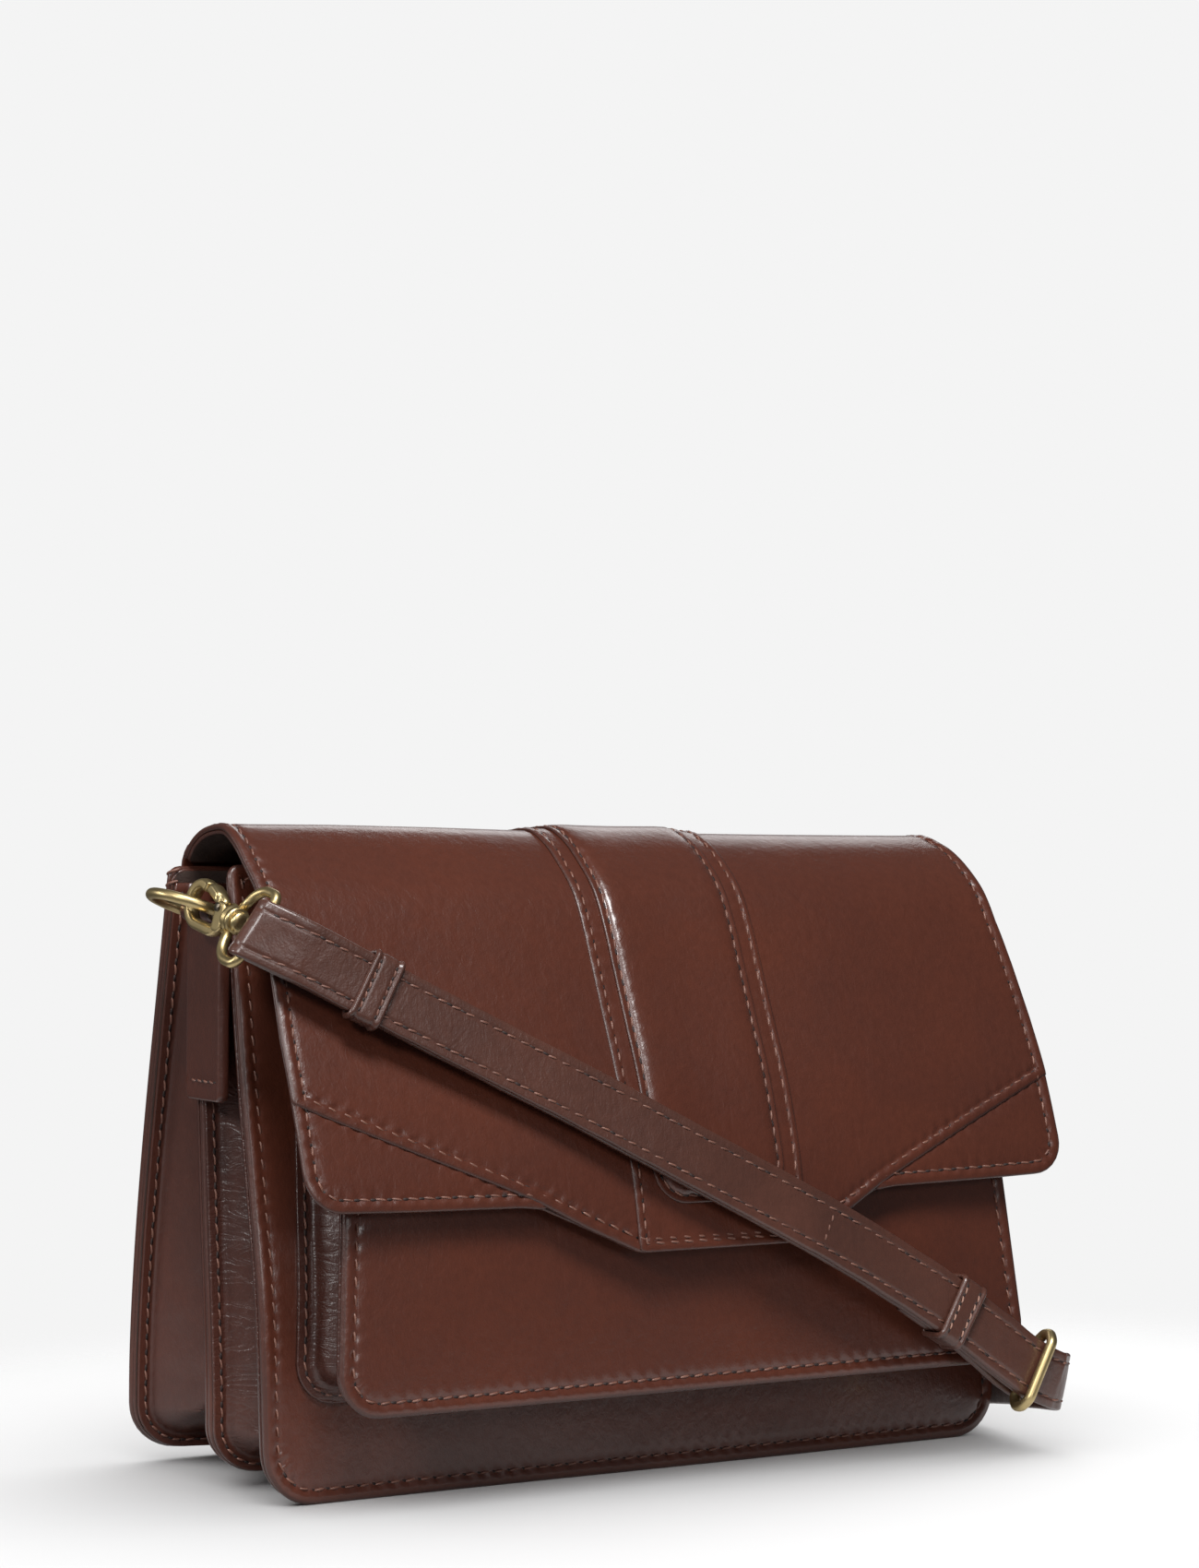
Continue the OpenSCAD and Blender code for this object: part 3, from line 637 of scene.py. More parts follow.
def groove(inset_d, deep=0.32, wide=0.9, puff=0.25, crown=0.0, pucker=0.23):
    """Depth of the outer face by distance from the edge: a dip along the stitches, where the
    thread pulls the leather into small puckers."""

    def face(u, v, dist, run):
        dip = -deep * np.exp(-((dist - inset_d) / wide) ** 2)
        lip = puff * np.clip(dist / 1.6, 0, 1) * np.exp(-((dist - inset_d * 0.45) / 1.4) ** 2)
        near = np.exp(-((dist - inset_d) / 1.9) ** 2) * np.clip(dist / 1.5, 0, 1)
        uneven = 0.75 + 0.5 * noise(run * 0.12, 0, 0, 77)
        pull = pucker * near * uneven * np.cos(2 * math.pi * (run + 0.5 * (dist - inset_d))
                                               / PITCH)
        return dip + lip + pull + crown * np.clip((dist - inset_d) / 30, 0, 1)

    return face


GROOVE_LOOPS = (0.8, 1.6, 2.3, 2.8, 3.3, 3.9, 4.8, 6.5)
PANEL_SEAM = 4.1


def panel(part, y_of, top, hw=HALF_W, foot=0.0, r=CORNER, top_hw=None, forward=1, thick=2.3,
          seed=1, wave=0.5, crown=0.4, lining_t=1.05, lift=0.0, board=True):
    """A panel: its outer leather, the lining behind it, and the stitches round it."""
    top_hw = hw if top_hw is None else top_hw
    place = upright(y_of, forward, wave, seed, lift)
    hidden = (part + "_board",) if board else ()
    _, base = slab(part + "_leather", panel_outline(hw, top, foot, r, top_hw), -thick, 0, place,
                   LEATHER, face=groove(PANEL_SEAM, crown=crown), rim=1.0, step=1.3,
                   loops=GROOVE_LOOPS, replaces=(part + "_panel",) + hidden, slot="leather")
    slab(part + "_inner", panel_outline(hw - 0.5, top - 0.5, foot + 0.4, r - 0.4, top_hw - 0.5),
         -thick - lining_t - 0.05, -thick - 0.05, place, LINING, rim=0.5, loops=(2.0,), grid=6,
         replaces=(part + "_lining",), slot="lining")
    seam = Sewing()
    seam.row(inset_line(base, PANEL_SEAM), place, -0.3)
    seam.sew(part + "_leather_stitches", "bag")


panel("back", back_y, 177.2, hw=128.4, forward=-1, lift=BACK_LIFT, seed=3)
panel("divider", divider_y, 167, lift=DIVIDER_LIFT, seed=5)
panel("front", front_y, 178, seed=8)
panel("pocket", pocket_y, 104, hw=118, foot=27, r=12, top_hw=113, seed=11, thick=1.9,
      lining_t=0.75, crown=1.2, wave=0.35, board=False)


# ---- gussets
def gusset(part, hw, top, foot, r, taper, front, rear, depth, seed, crumple=0.5,
           lifts=(0.0, 0.0), mat="gusset_leather"):
    """A folded strip down one side, along the foot and up the other, stitched to the panel
    behind it and the one in front. lifts are how much those two panels' corners curl up."""
    flange, thick, n_side, n_arc, n_foot = 4.2, 1.1, 60, 14, 60
    # x, z and the way outwards, down the left side and round its corner
    q = []
    for i in range(n_side):
        z = top + (foot + r - top) * i / n_side
        q.append((-hw + taper * (z - foot - r) / (top - foot - r), z, -1, 0))
    for k in range(n_arc):
        t = math.radians(90 * k / n_arc)
        q.append((-hw + r - r * math.cos(t), foot + r - r * math.sin(t),
                  -math.cos(t), -math.sin(t)))
    base = [((-hw + r) * (1 - 2 * i / n_foot), foot, 0, -1) for i in range(n_foot + 1)]
    q = np.array(q + base + [(-x, z, -nx, nz) for x, z, nx, nz in reversed(q)])
    run = run_of(q[:, :2])
    # the fold's section: how far in, and how far from the rear (0) to the front (1)
    deep = depth - flange
    ctrl = [(0.0, 0.0), (2.0, 0.0), (flange, 0.004), (flange + 1.6, 0.06),
            (flange + 0.50 * deep, 0.24), (flange + 0.86 * deep, 0.40), (depth, 0.5)]
    sec = catmull(ctrl + [(o, 1 - t) for o, t in reversed(ctrl[:-1])], 4)
    verts = np.zeros((len(q), len(sec), 3))
    y_rear, y_front = rear(q[:, 1]), front(q[:, 1])
    for j, (o, t) in enumerate(sec):
        w = crumple * math.sin(math.pi * min(max(t, 0), 1)) ** 0.7
        o = o + w * noise(run * 0.11, t * 5, 0, seed) \
            + 0.35 * w * noise(run * 0.45, t * 3, 0, seed + 9)
        verts[:, j, 0] = q[:, 0] - q[:, 2] * o
        verts[:, j, 1] = y_rear + (y_front - y_rear) * t \
            + 0.5 * w * noise(run * 0.16, t * 4, 0, seed + 4)
        verts[:, j, 2] = q[:, 1] - q[:, 3] * o + corner_lift(
            q[:, 0], q[:, 1], lifts[0] * (1 - t) + lifts[1] * t)
    obj = make(part + "_gusset_leather", verts.reshape(-1, 3),
               quads(len(q), len(sec), wrap_cols=False), [MAT[mat]],
               replaces=(part + "_gusset",), slot="gusset_leather")
    shell = obj.modifiers.new("thickness", "SOLIDIFY")
    shell.thickness = thick * 0.001
    shell.offset = 0.0
    # the two stitched flanges
    seam = Sewing()
    for y_of, out, rise in ((rear, -1, lifts[0]), (front, 1, lifts[1])):
        def place(u, v, d, y_of=y_of, out=out, rise=rise):
            px, pz, ox, oz = (np.interp(u, run, q[:, k]) for k in range(4))
            x, z = px - ox * v, pz - oz * v
            return np.stack([x, y_of(z) + out * d, z + corner_lift(x, z, rise)], -1)
        seam.row(np.array([(s, 2.3) for s in np.linspace(2, run[-1] - 2, 200)]), place,
                 thick / 2 + 0.12)
    seam.sew(part + "_gusset_leather_stitches", "bag")


gusset("rear", HALF_W - 0.4, 172, 0.5, CORNER - 0.5, 0,
       lambda z: divider_y(z) + 3.95, lambda z: back_y(z) - 3.95, 15.5, seed=21, crumple=0.35,
       lifts=(BACK_LIFT, DIVIDER_LIFT), mat="side_leather")
gusset("front", HALF_W - 0.4, 163, 0.5, CORNER - 0.5, 0,
       lambda z: front_y(z) + 3.95, lambda z: divider_y(z) - 0.75, 14.5, seed=31, crumple=0.75,
       lifts=(DIVIDER_LIFT, 0.0))
gusset("pocket", 118 - 0.5, 103, 27.6, 11.5, 4.8,
       lambda z: pocket_y(z) + 3.2, lambda z: front_y(z) - 0.75, 10, seed=41)

# ---- flap
flap_line = Line(catmull(FLAP, 10))
FLAP_END = flap_line.length
FLAP_OUT, CORNER_OUT, FLAP_SEAM = 1.45, 0.85, 3.7


def at_z(z):
    """Length along the flap's line at height z on its front."""
    p, s = flap_line.p, flap_line.s
    k = int(np.argmax(p[:, 1])) + 6
    return float(np.interp(-z, -p[k:, 1], s[k:]))


def on_front(points):
    """Points (x, z) on the flap's front as (x, length from the hinge)."""
    return [(x, at_z(z)) for x, z in points]


def on_flap(u, v, d, sag=1.0):
    """Places (x, length from the hinge, depth) on the flap."""
    v = np.asarray(v, float)
    near = np.clip(v, 0, FLAP_END)
    t = flap_line.along(near, 2.5)
    p = flap_line.at(near) + t * (v - near)[..., None]
    # the leather is a little fuller beside the strips and lower towards its sides
    w = np.clip((v - 50) / 40, 0, 1) * np.clip((FLAP_END - v) / 30, 0, 1)
    full = sag * (0.8 * np.exp(-((np.abs(u) - 55) / 30) ** 2) - 0.5 * (np.abs(u) / 126) ** 4) * w
    # the crest sinks away from its left end
    low = np.interp(u, [-124, -90, -60, -30, 0, 40, 70, 124],
                    [0, 0.1, 0.7, 1.5, 1.9, 2.3, 2.5, 2.7])
    crest = low * np.exp(-(np.clip(np.abs(v - 27) - 8, 0, 99) / 11) ** 2)
    dd = d + full - crest + 0.2 * noise(u * 0.035, v * 0.03, 0, 51) * w
    # how much wider each side is along its length
    side = np.where(u > 0, np.interp(v, [0, 14, 38, 52, 90, 130, 165],
                                     [0, 0.6, 2.0, 2.9, 3.1, 2.4, 2.0]),
                    np.interp(v, [0, 36, 60, 150, 165], [0, 1.6, 0.6, -0.9, -0.9]))
    # the strips lie a little to the right, more so at the top, and the leather goes with them
    lean = 3.2 + 3.0 * (p[..., 1] - 68) / 127
    share = np.interp(u, [-118, -95, -62, 34, 40, 62, 75], [0, 0.25, 1, 1, 0.8, 0.12, 0])
    x = u + lean * share + np.sign(u) * side * (np.abs(u) / 128) ** 3
    return np.stack([x + 0 * v, p[..., 0] + dd * t[..., 1], p[..., 1] - dd * t[..., 0]], -1)


FOOT_R = 11
flap_half = ([(123.3, 0.6), (123.6, 12), (124.2, 24), (125.2, 40)]
             + on_front([(126.6, 160), (128.2, 147), (129.6, 130), (130.2, 112)])
             + arc((130.3 - FOOT_R, at_z(83.6) - FOOT_R), FOOT_R, 0, 90, 8)
             + on_front([(100, 83.0), (80, 82.6), (66, 82.3), (60, 81.6), (45, 75.2),
                         (31.5, 69.3), (29.0, 68.2), (27, 67.9), (14, 67.5)]))
flap_outline = mirrored(flap_half)
SEAM_A, SEAM_B = on_front([(131.5, 113.5), (58.5, 82.2)])


def seam_v(x):
    """Length along the flap where the slanting seam crosses x."""
    t = (abs(x) - SEAM_B[0]) / (SEAM_A[0] - SEAM_B[0])
    return SEAM_B[1] + (SEAM_A[1] - SEAM_B[1]) * t


# the main piece stops at the seams, and the corners reach a little way under it
main_half = [p for p in flap_half if abs(p[0]) < 59 or p[1] < seam_v(p[0]) - 1.5]
k = next(i for i, p in enumerate(main_half) if p[0] < 61)
main_half = main_half[:k] + [(x, seam_v(x)) for x in (130.25, 95, 61)] + main_half[k:]
slab("flap_leather", mirrored(main_half), -0.25, FLAP_OUT, on_flap, LEATHER,
     face=groove(FLAP_SEAM, deep=0.34, wide=0.85, puff=0.3, pucker=0.3), step=1.3, rim=0.8,
     loops=GROOVE_LOOPS, grid=3.6, body="flap", replaces=("flap_outer",), slot="leather")
slab("flap_inner", [(x * 0.9965, min(y, at_z(67.5)) - 0.3) for x, y in flap_outline],
     -1.45, -0.3, on_flap, LINING, rim=0.55, loops=(1.2, 3.0), grid=5, body="flap",
     replaces=("flap_lining",), slot="lining")
corner = [p for p in flap_half if p[0] > 59.5 and p[1] > seam_v(p[0])]
corner += [(58.5, at_z(81.8)), (58.5, seam_v(58.5) - 4), (130.2, seam_v(130.2) - 5)]
for side, s in SIDES:
    slab("flap_corner_leather_" + side, [(s * x, y) for x, y in corner], -0.28, CORNER_OUT,
         on_flap, ALL_LEATHER, face=groove(FLAP_SEAM, deep=0.3, wide=0.85, puff=0.3, pucker=0.3),
         rim=0.7, step=1.3, loops=GROOVE_LOOPS[:6], grid=3.2, body="flap",
         replaces=("flap_corner_" + side,), slot="leather")


def flap_depth(u, v):
    """Depth of the flap's edge stitches: on the corners, the strips or the main piece."""
    d = np.full(np.shape(u), FLAP_OUT)
    d = np.where((v > seam_v(u)) & (np.abs(u) > SEAM_B[0]), CORNER_OUT, d)
    return np.where(np.abs(u) < 29.5, WIDE_OUT, d) - 0.3


# stitches round the flap and along the seams
WIDE_OUT, NARROW_OUT = 2.15, 2.95
seam = Sewing()
seam.row(inset_line(resampled(flap_outline, 2.4), FLAP_SEAM, lambda x, y: y > 4), on_flap,
         flap_depth)
for _, s in SIDES:
    seam.row(np.array([(s * x, seam_v(x) - 3.2) for x in np.linspace(126.5, 63, 60)]), on_flap,
             1.2)
seam.sew("flap_stitches", "flap")


# the wide strip and the padded strip on it
def on_strip(u, v, d):
    return on_flap(u, v, d, sag=0.35)


wide_half = [(30.0, 0.8)] + on_front([(30.0, 150), (29.8, 100), (29.2, 69.2), (28.2, 67.9),
                                      (26.5, 67.6), (14, 67.3)])
_, wide_base = slab("flap_wide_strip_leather", mirrored(wide_half), 1.3, WIDE_OUT, on_strip,
                    ALL_LEATHER, face=groove(2.5, deep=0.25, wide=0.7, puff=0.3), rim=0.6,
                    loops=(0.7, 1.3, 1.9, 2.5, 3.2, 4.5), grid=3.6, step=2.0, body="flap",
                    replaces=("flap_wide_strip",), slot="leather")
NARROW_R = 11
narrow_half = [(23.3, 0.9)] + on_front([(23.3, 150), (23.0, 98)]) \
    + arc((23.0 - NARROW_R, at_z(80.8) - NARROW_R), NARROW_R, 0, 90, 8)


def puffed(u, v, dist, run):
    """The padded strip's outer face: full inside its stitches, flatter towards the hinge."""
    rise = np.clip(v / 30, 0.35, 1) * np.clip((v - 18) / 30, 0.45, 1)
    body = 1.15 * (1 - np.exp(-np.clip(dist - 2.2, 0, 99) / 1.3))
    dip = -0.3 * np.exp(-((dist - 2.3) / 0.6) ** 2)
    pull = 0.16 * np.exp(-((dist - 3.0) / 1.0) ** 2) * np.cos(2 * math.pi * run / PITCH)
    return (body - 0.35 * np.clip((dist - 6) / 14, 0, 1)) * rise + dip + pull


narrow, narrow_base = slab("flap_narrow_strip_leather", mirrored(narrow_half), 2.05, NARROW_OUT,
                           on_strip, ALL_LEATHER, face=puffed, rim=0.6,
                           loops=(0.6, 1.2, 1.7, 2.1, 2.6, 3.2, 4.2, 5.6, 7.5), grid=3.2,
                           step=2.0, body="flap", replaces=("flap_narrow_strip",),
                           slot="leather")
seam = Sewing()
seam.row(inset_line(wide_base, 2.4, lambda x, y: y > 3), on_strip, 1.98)
seam.row(inset_line(narrow_base, 2.2, lambda x, y: y > 3), on_strip, 2.78)
seam.sew("flap_strip_stitches", "flap")

# leather that carries the back panel over the fold into the flap
HINGE = [(31.5, 166), (30.2, 172), (29.4, 176), (28.6, 178.8), (26.6, 181.2), (24.2, 183.1)]
HINGE_HALF = 122.8
hinge_line = Line(catmull(HINGE, 8))


def on_hinge(u, v, d):
    p, t = hinge_line.at(v), hinge_line.along(v, 1.2)
    return np.stack([u + 0 * v, p[..., 0] + d * t[..., 1], p[..., 1] - d * t[..., 0]], -1)


band, _ = slab("hinge_leather",
               [(-HINGE_HALF, 0.4), (HINGE_HALF, 0.4), (HINGE_HALF, hinge_line.length - 0.4),
                (-HINGE_HALF, hinge_line.length - 0.4)], 0.5, 1.7, on_hinge, ALL_LEATHER,
               face=groove(2.8, deep=0.2, wide=0.7, puff=0.1), rim=0.5,
               loops=(0.8, 1.6, 2.3, 2.9, 3.6), grid=2.4, body=None)
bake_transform(band)
seam = Sewing()
seam.row(np.array([(x, 3.0) for x in np.linspace(-120, 120, 120)]), on_hinge, 1.5)
seam.sew("hinge_stitches", "bag")

# ---- where the hooks and strap lie
RING_X, RING_Y, RING_Z = 131.3, -1.0, 164.4
WIRE_R, LOOP_WIRE, RING_HALF = 1.6, 1.5, 11.6
STRAP_W, STRAP_T, LAYER_GAP = 17.5, 2.2, 2.5
BAR_X = 34.5


def turn(v, angles):
    """Turned about X, then Y, then Z, as the CAD does."""
    v = np.asarray(v, float)
    x, y, z = v[..., 0], v[..., 1], v[..., 2]
    ca, sa = np.cos(np.radians(angles)), np.sin(np.radians(angles))
    y, z = y * ca[0] - z * sa[0], y * sa[0] + z * ca[0]
    x, z = x * ca[1] + z * sa[1], -x * sa[1] + z * ca[1]
    x, y = x * ca[2] - y * sa[2], x * sa[2] + y * ca[2]
    return np.stack([x, y, z], -1)


PLACE = {"left": np.array([-RING_X - 5.66, RING_Y - 7.32, RING_Z + 3.22]),
         "right": np.array([RING_X + 7.96, RING_Y + 8.99, RING_Z - 1.61])}
HOOK_TURN = {"left": (-9, 12.5, -86), "right": (30, 63, 82)}
LOOP_TURN = {"left": (-31, 12.5, -86), "right": (0, 63, 82)}
BAR = {s: PLACE[s] + turn((BAR_X, 0, 0), HOOK_TURN[s]) for s in ("left", "right")}
UP = {s: turn((0, 0, 1), LOOP_TURN[s]) for s in ("left", "right")}

# the strap's middle line and the way its width goes, from the left clasp to the right one
front_route = [
    ((-124.5, -49.2, 154.7), tuple(UP["left"])), ((-104, -54, 143.9), (0.45, 0, 0.89)),
    ((-74, -60, 128.6), (0.45, 0.06, 0.89)), ((-41.3, -66, 112.2), (0.45, 0.1, 0.88)),
    ((-4.4, -72.4, 92.8), (0.46, 0.1, 0.88)), ((34.5, -74.6, 73.1), (0.48, 0.1, 0.87)),
    ((60, -75.2, 59), (0.49, 0.08, 0.87)), ((83, -75.5, 45.3), (0.5, 0.06, 0.86)),
    ((98, -76, 35), (0.5, 0.05, 0.86)), ((110.8, -76.5, 26.3), (0.48, 0.04, 0.87)),
    ((120.5, -75.4, 22), (0.42, 0, 0.9))]
free_route = [
    ((120.5, -75.4, 22), (0.42, 0, 0.9)), ((125, -72.3, 21), (0.28, 0.08, 0.95)),
    ((125.9, -65.5, 20.2), (0.12, 0.1, 0.98)), ((125.8, -55, 19.4), (0.03, 0.08, 1)),
    ((128.9, -43, 18.4), (0, 0.05, 1)), ((132, -30, 16.8), (0, 0.05, 1)),
    ((134.6, -10, 13.4), (0, 0.1, 1)), ((135.4, 18, 9.9), (0, 0.05, 1)),
    *(((x, y, 9.4), (0, 0, 1)) for x, y in (
        (134, 45), (127, 63), (112, 73), (90, 77), (50, 78), (0, 78), (-35, 80), (-52, 89),
        (-55, 103), (-44, 115), (-20, 120), (20, 121))),
    ((60, 120, 9.5), (0, 0, 1)),
    ((92, 115, 11), (0.1, 0.05, 0.99)), ((116, 103, 17), (0.2, 0.1, 0.97)),
    ((132, 86, 30), (0.25, 0.4, 0.88)), ((140, 68, 50), (0.2, 0.65, 0.73)),
    ((142, 53, 76), (0.15, 0.8, 0.58)), ((141.5, 40, 101), (0.12, 0.86, 0.5)),
    (tuple(BAR["right"] + 1.6 * np.array([0.6, 1.4, -2.8])), tuple(UP["right"]))]


def rows(route):
    return np.array([list(p) + list(w) for p, w in route])


def frames_of(r):
    """Place, along, across and outward direction at each point of a route's rows."""
    p, w = r[:, :3], r[:, 3:]
    nxt, prv = np.vstack([p[1:], p[-1:]]), np.vstack([p[:1], p[:-1]])
    t = unit(nxt - prv)
    w = unit(w - np.sum(w * t, -1, keepdims=True) * t)
    return p, t, w, np.cross(t, w)


def fold(centre, along, across, r, a0, a1, n):
    """Rows of an arc round a bar."""
    out = np.cross(along, across)
    return [list(centre + r * (-math.cos(q) * along + math.sin(q) * out)) + list(across)
            for q in np.radians(np.linspace(a0, a1, n + 1))]


coarse = catmull(rows(front_route), 3)
fp, ft, fw, fo = frames_of(coarse)
STRAP_GAP = STRAP_T / 2 + 0.25
FOLD_R = LOOP_WIRE + STRAP_GAP
along_left = unit(np.array(front_route[0][0]) + (0, 0.4, 0.2) - BAR["left"] - FOLD_R * fo[0])
front_rows = np.vstack([fold(BAR["left"], along_left, UP["left"], FOLD_R, 0, 75, 6),
                        catmull(rows(front_route), 8)])
main_rows = np.vstack([front_rows, catmull(rows(free_route), 8)[1:]])

# the slide buckle's two bars, and the second layer that goes round the rear one
BUCKLE = 27
q_t, q_w, q_o = ft[BUCKLE], fw[BUCKLE], fo[BUCKLE]
front_bar = fp[BUCKLE] + q_o * (STRAP_GAP + WIRE_R)
rear_bar = fp[BUCKLE] + q_t * 1.5 - q_o * (LAYER_GAP + STRAP_GAP + WIRE_R)
under = [list(fp[i] - LAYER_GAP * fo[i]) + list(fw[i]) for i in range(1, BUCKLE + 1)]
round_bar = fold(rear_bar, -q_t, -q_w, WIRE_R + STRAP_GAP, -90, 90, 10)[::-1]
for row in round_bar:
    row[3:] = list(q_w)
# the tail behind it is further off near the bar
third = [list(fp[i] - (2 * LAYER_GAP + max(0, i - 22) * 0.82) * fo[i]) + list(fw[i])
         for i in range(BUCKLE - 1, 18, -1)]
under_rows = np.vstack([fold(BAR["left"], along_left, UP["left"], FOLD_R, 0, -100, 7), under,
                        round_bar, third])


def strap_section():
    """The strap's cross-section: a rounded edge, a dip along each stitch row, a soft crown."""
    hw, ht = STRAP_W / 2, STRAP_T / 2
    top = []
    for u in np.r_[np.linspace(-hw + 0.9, -hw + 4.4, 12), np.linspace(-hw + 5.2, hw - 5.2, 7),
                   np.linspace(hw - 4.4, hw - 0.9, 12)]:
        dist = hw - abs(u)
        dip = -0.22 * math.exp(-((dist - 3.0) / 0.55) ** 2)
        top.append((u, ht + dip - 0.1 + 0.1 * math.cos(u / hw * 1.4)))
    edge = [(hw - 0.9 + 0.9 * math.sin(q), (ht - 0.05) * math.cos(q)) for q in
            np.radians((25, 50, 75, 90, 105, 130, 155))]
    low = [(u, -ht) for u in np.linspace(hw - 0.9, -hw + 0.9, 9)]
    left = [(-x, y) for x, y in reversed(edge)]
    return np.array(top + edge + low + left)


def ribbon(name, r, seed, ripple, replaces):
    """A layer of the strap along a route, with place(s, c, d) on it and the route's length."""
    p, _, w, o = frames_of(r)
    sec = strap_section()
    run = run_of(p)
    v = np.zeros((len(r), len(sec), 3))
    for j, (u, d) in enumerate(sec):
        uneven = ripple * noise(run * 0.35, u * 0.22, 0, seed) if d > 0 else 0 * run
        side = 0.12 * noise(run * 0.25, 3.0 if u > 0 else 0, 0, seed + 3) * (abs(u) / 8.7) ** 2
        v[:, j] = p + (u + side * np.sign(u))[:, None] * w + (d + uneven)[:, None] * o
    obj = solid(name, v.reshape(-1, 3), quads(len(r), len(sec)) + caps(len(r), len(sec)),
                [MAT["strap_leather"]], replaces=replaces, slot="strap_leather")

    def place(u, c, d):
        q = [np.stack([np.interp(u, run, a0[:, k]) for k in range(3)], -1) for a0 in (p, w, o)]
        return q[0] + np.asarray(c)[..., None] * unit(q[1]) \
            + np.asarray(d)[..., None] * unit(q[2])

    return obj, place, run


def strap_rows(seam, place, s0, s1, n):
    """The two rows of stitches along a layer of the strap."""
    for _, side in SIDES:
        ln = [(s, side * (STRAP_W / 2 - 3.0)) for s in np.linspace(s0, s1, n)]
        seam.row(np.array(ln), place, STRAP_T / 2 - 0.28, pitch=4.6, size=3.3, r=0.33)


strap, on_strap, strap_run = ribbon("strap_long", main_rows, 61, 0.10,
                                    ("strap_front", "strap_free"))
strap_u, on_under, under_run = ribbon("strap_fold", under_rows, 63, 0.06, ("strap_under",))
seam = Sewing()
strap_rows(seam, on_strap, 6, strap_run[-1] - 3, 900)
cross_s = float(np.interp(35.0, front_rows[:, 0], strap_run[:len(front_rows)]))
seam.row(np.array([(cross_s, c) for c in np.linspace(-5.6, 5.6, 12)]), on_strap,
         STRAP_T / 2 - 0.12, pitch=3.6, size=2.6, r=0.33)
seam.sew("strap_stitches", "bag")
seam = Sewing()
strap_rows(seam, on_under, 4, under_run[-1] - 3, 300)
seam.sew("strap_fold_stitches", "bag")


def keeper(name, at, layers, thread="thread"):
    """A stitched band round the strap where its front run passes a point."""
    s = float(strap_run[int(np.argmin(np.linalg.norm(front_rows[:, :3] - at, axis=1)))])
    half, thick, play, rc = 4.75, 1.35, 0.28, 1.0
    low = -STRAP_T / 2 - (layers - 1) * LAYER_GAP - play
    high = STRAP_T / 2 + play
    side = STRAP_W / 2 + play
    loop = []
    for cx, cy, a0 in ((side - rc, high - rc, 0), (-side + rc, high - rc, 90),
                       (-side + rc, low + rc, 180), (side - rc, low + rc, 270)):
        loop += [(cx + rc * math.cos(q), cy + rc * math.sin(q), math.cos(q), math.sin(q))
                 for q in np.radians(np.linspace(a0, a0 + 90, 7))]
    dense = []
    for p0, p1 in zip(np.array(loop), np.roll(loop, -1, axis=0)):
        k = max(1, int(np.linalg.norm(p1[:2] - p0[:2]) / 1.2))
        dense += [tuple(p0 + (p1 - p0) * q / k) for q in range(k)]
    sec = []
    for a0 in np.linspace(-half + 0.5, half - 0.5, 25):
        dist = half - abs(a0)
        ridge = 0.35 * math.exp(-((dist - 0.9) / 0.55) ** 2) - 0.22 * math.exp(
            -((dist - 2.2) / 0.5) ** 2)
        sec.append((a0, thick - 0.1 + ridge))
    edge = [(half - 0.05, thick - 0.45), (half, thick * 0.5), (half - 0.05, 0.25),
            (half - 0.5, 0)]
    sec += edge + [(-x, h) for x, h in reversed(edge)]
    pts = np.array([(s + a0, x + h * nx / math.hypot(nx, ny), y + h * ny / math.hypot(nx, ny))
                    for x, y, nx, ny in dense for a0, h in sec])
    obj = solid(name + "_band", on_strap(*pts.T), quads(len(dense), len(sec), wrap_rows=True),
                [MAT["strap_leather"]], replaces=(name,), slot="strap_leather")
    seam = Sewing()
    for _, sd in SIDES:
        row = [(s + sd * (half - 2.2), c) for c in np.linspace(-side + 0.8, side - 0.8, 20)]
        seam.row(np.array(row), on_strap, high + thick - 0.28, pitch=2.9, size=2.3, r=0.3)
    return obj, seam.sew(name + "_stitches", "bag", thread)


keep_l, keep_l_st = keeper("keeper_left", fp[3], 2)
keep_r, keep_r_st = keeper("keeper_right", fp[21], 3, "thread_pale")


# ---- metalwork
def rounded_path(points, r, n=6, closed=True):
    """A line through corners, each rounded off by about r."""
    p = np.asarray(points, float)
    out = []
    for i in range(len(p)):
        if not closed and i in (0, len(p) - 1):
            out.append(p[i])
            continue
        a0, b0, c0 = p[i - 1], p[i], p[(i + 1) % len(p)]
        la, lc = np.linalg.norm(a0 - b0), np.linalg.norm(c0 - b0)
        q = min(r, la * 0.49, lc * 0.49)
        s0, s1 = b0 + (a0 - b0) / la * q, b0 + (c0 - b0) / lc * q
        for t in np.arange(n + 1) / n:
            out.append((1 - t) ** 2 * s0 + 2 * t * (1 - t) * b0 + t * t * s1)
    return np.array(out)


def d_ring(side, s, angles):
    leg, h = 4, RING_HALF
    path = rounded_path([(leg, h, 0), (0, h, 0), (0, -h, 0), (leg, -h, 0)], 1.6, closed=False)
    bow = [(leg + h * math.sin(q), -h * math.cos(q), 0) for q in np.linspace(0, math.pi, 33)]
    ring = Line(np.vstack([[(leg, h, 0)], path, bow[1:-1]]), closed=True)
    p = ring.at(np.linspace(0, 1, 120, endpoint=False) * ring.length)
    tube("d_ring_%s_wire" % side, turn(p, angles) + np.array([s * RING_X, RING_Y, RING_Z]),
         WIRE_R, 18, closed=True, normal=turn((0, 0, 1), angles), body="ring_" + side,
         replaces=("d_ring_" + side,), slot="brass")


d_ring("left", -1, (0, -20, 180))
d_ring("right", 1, (0, 35, 0))


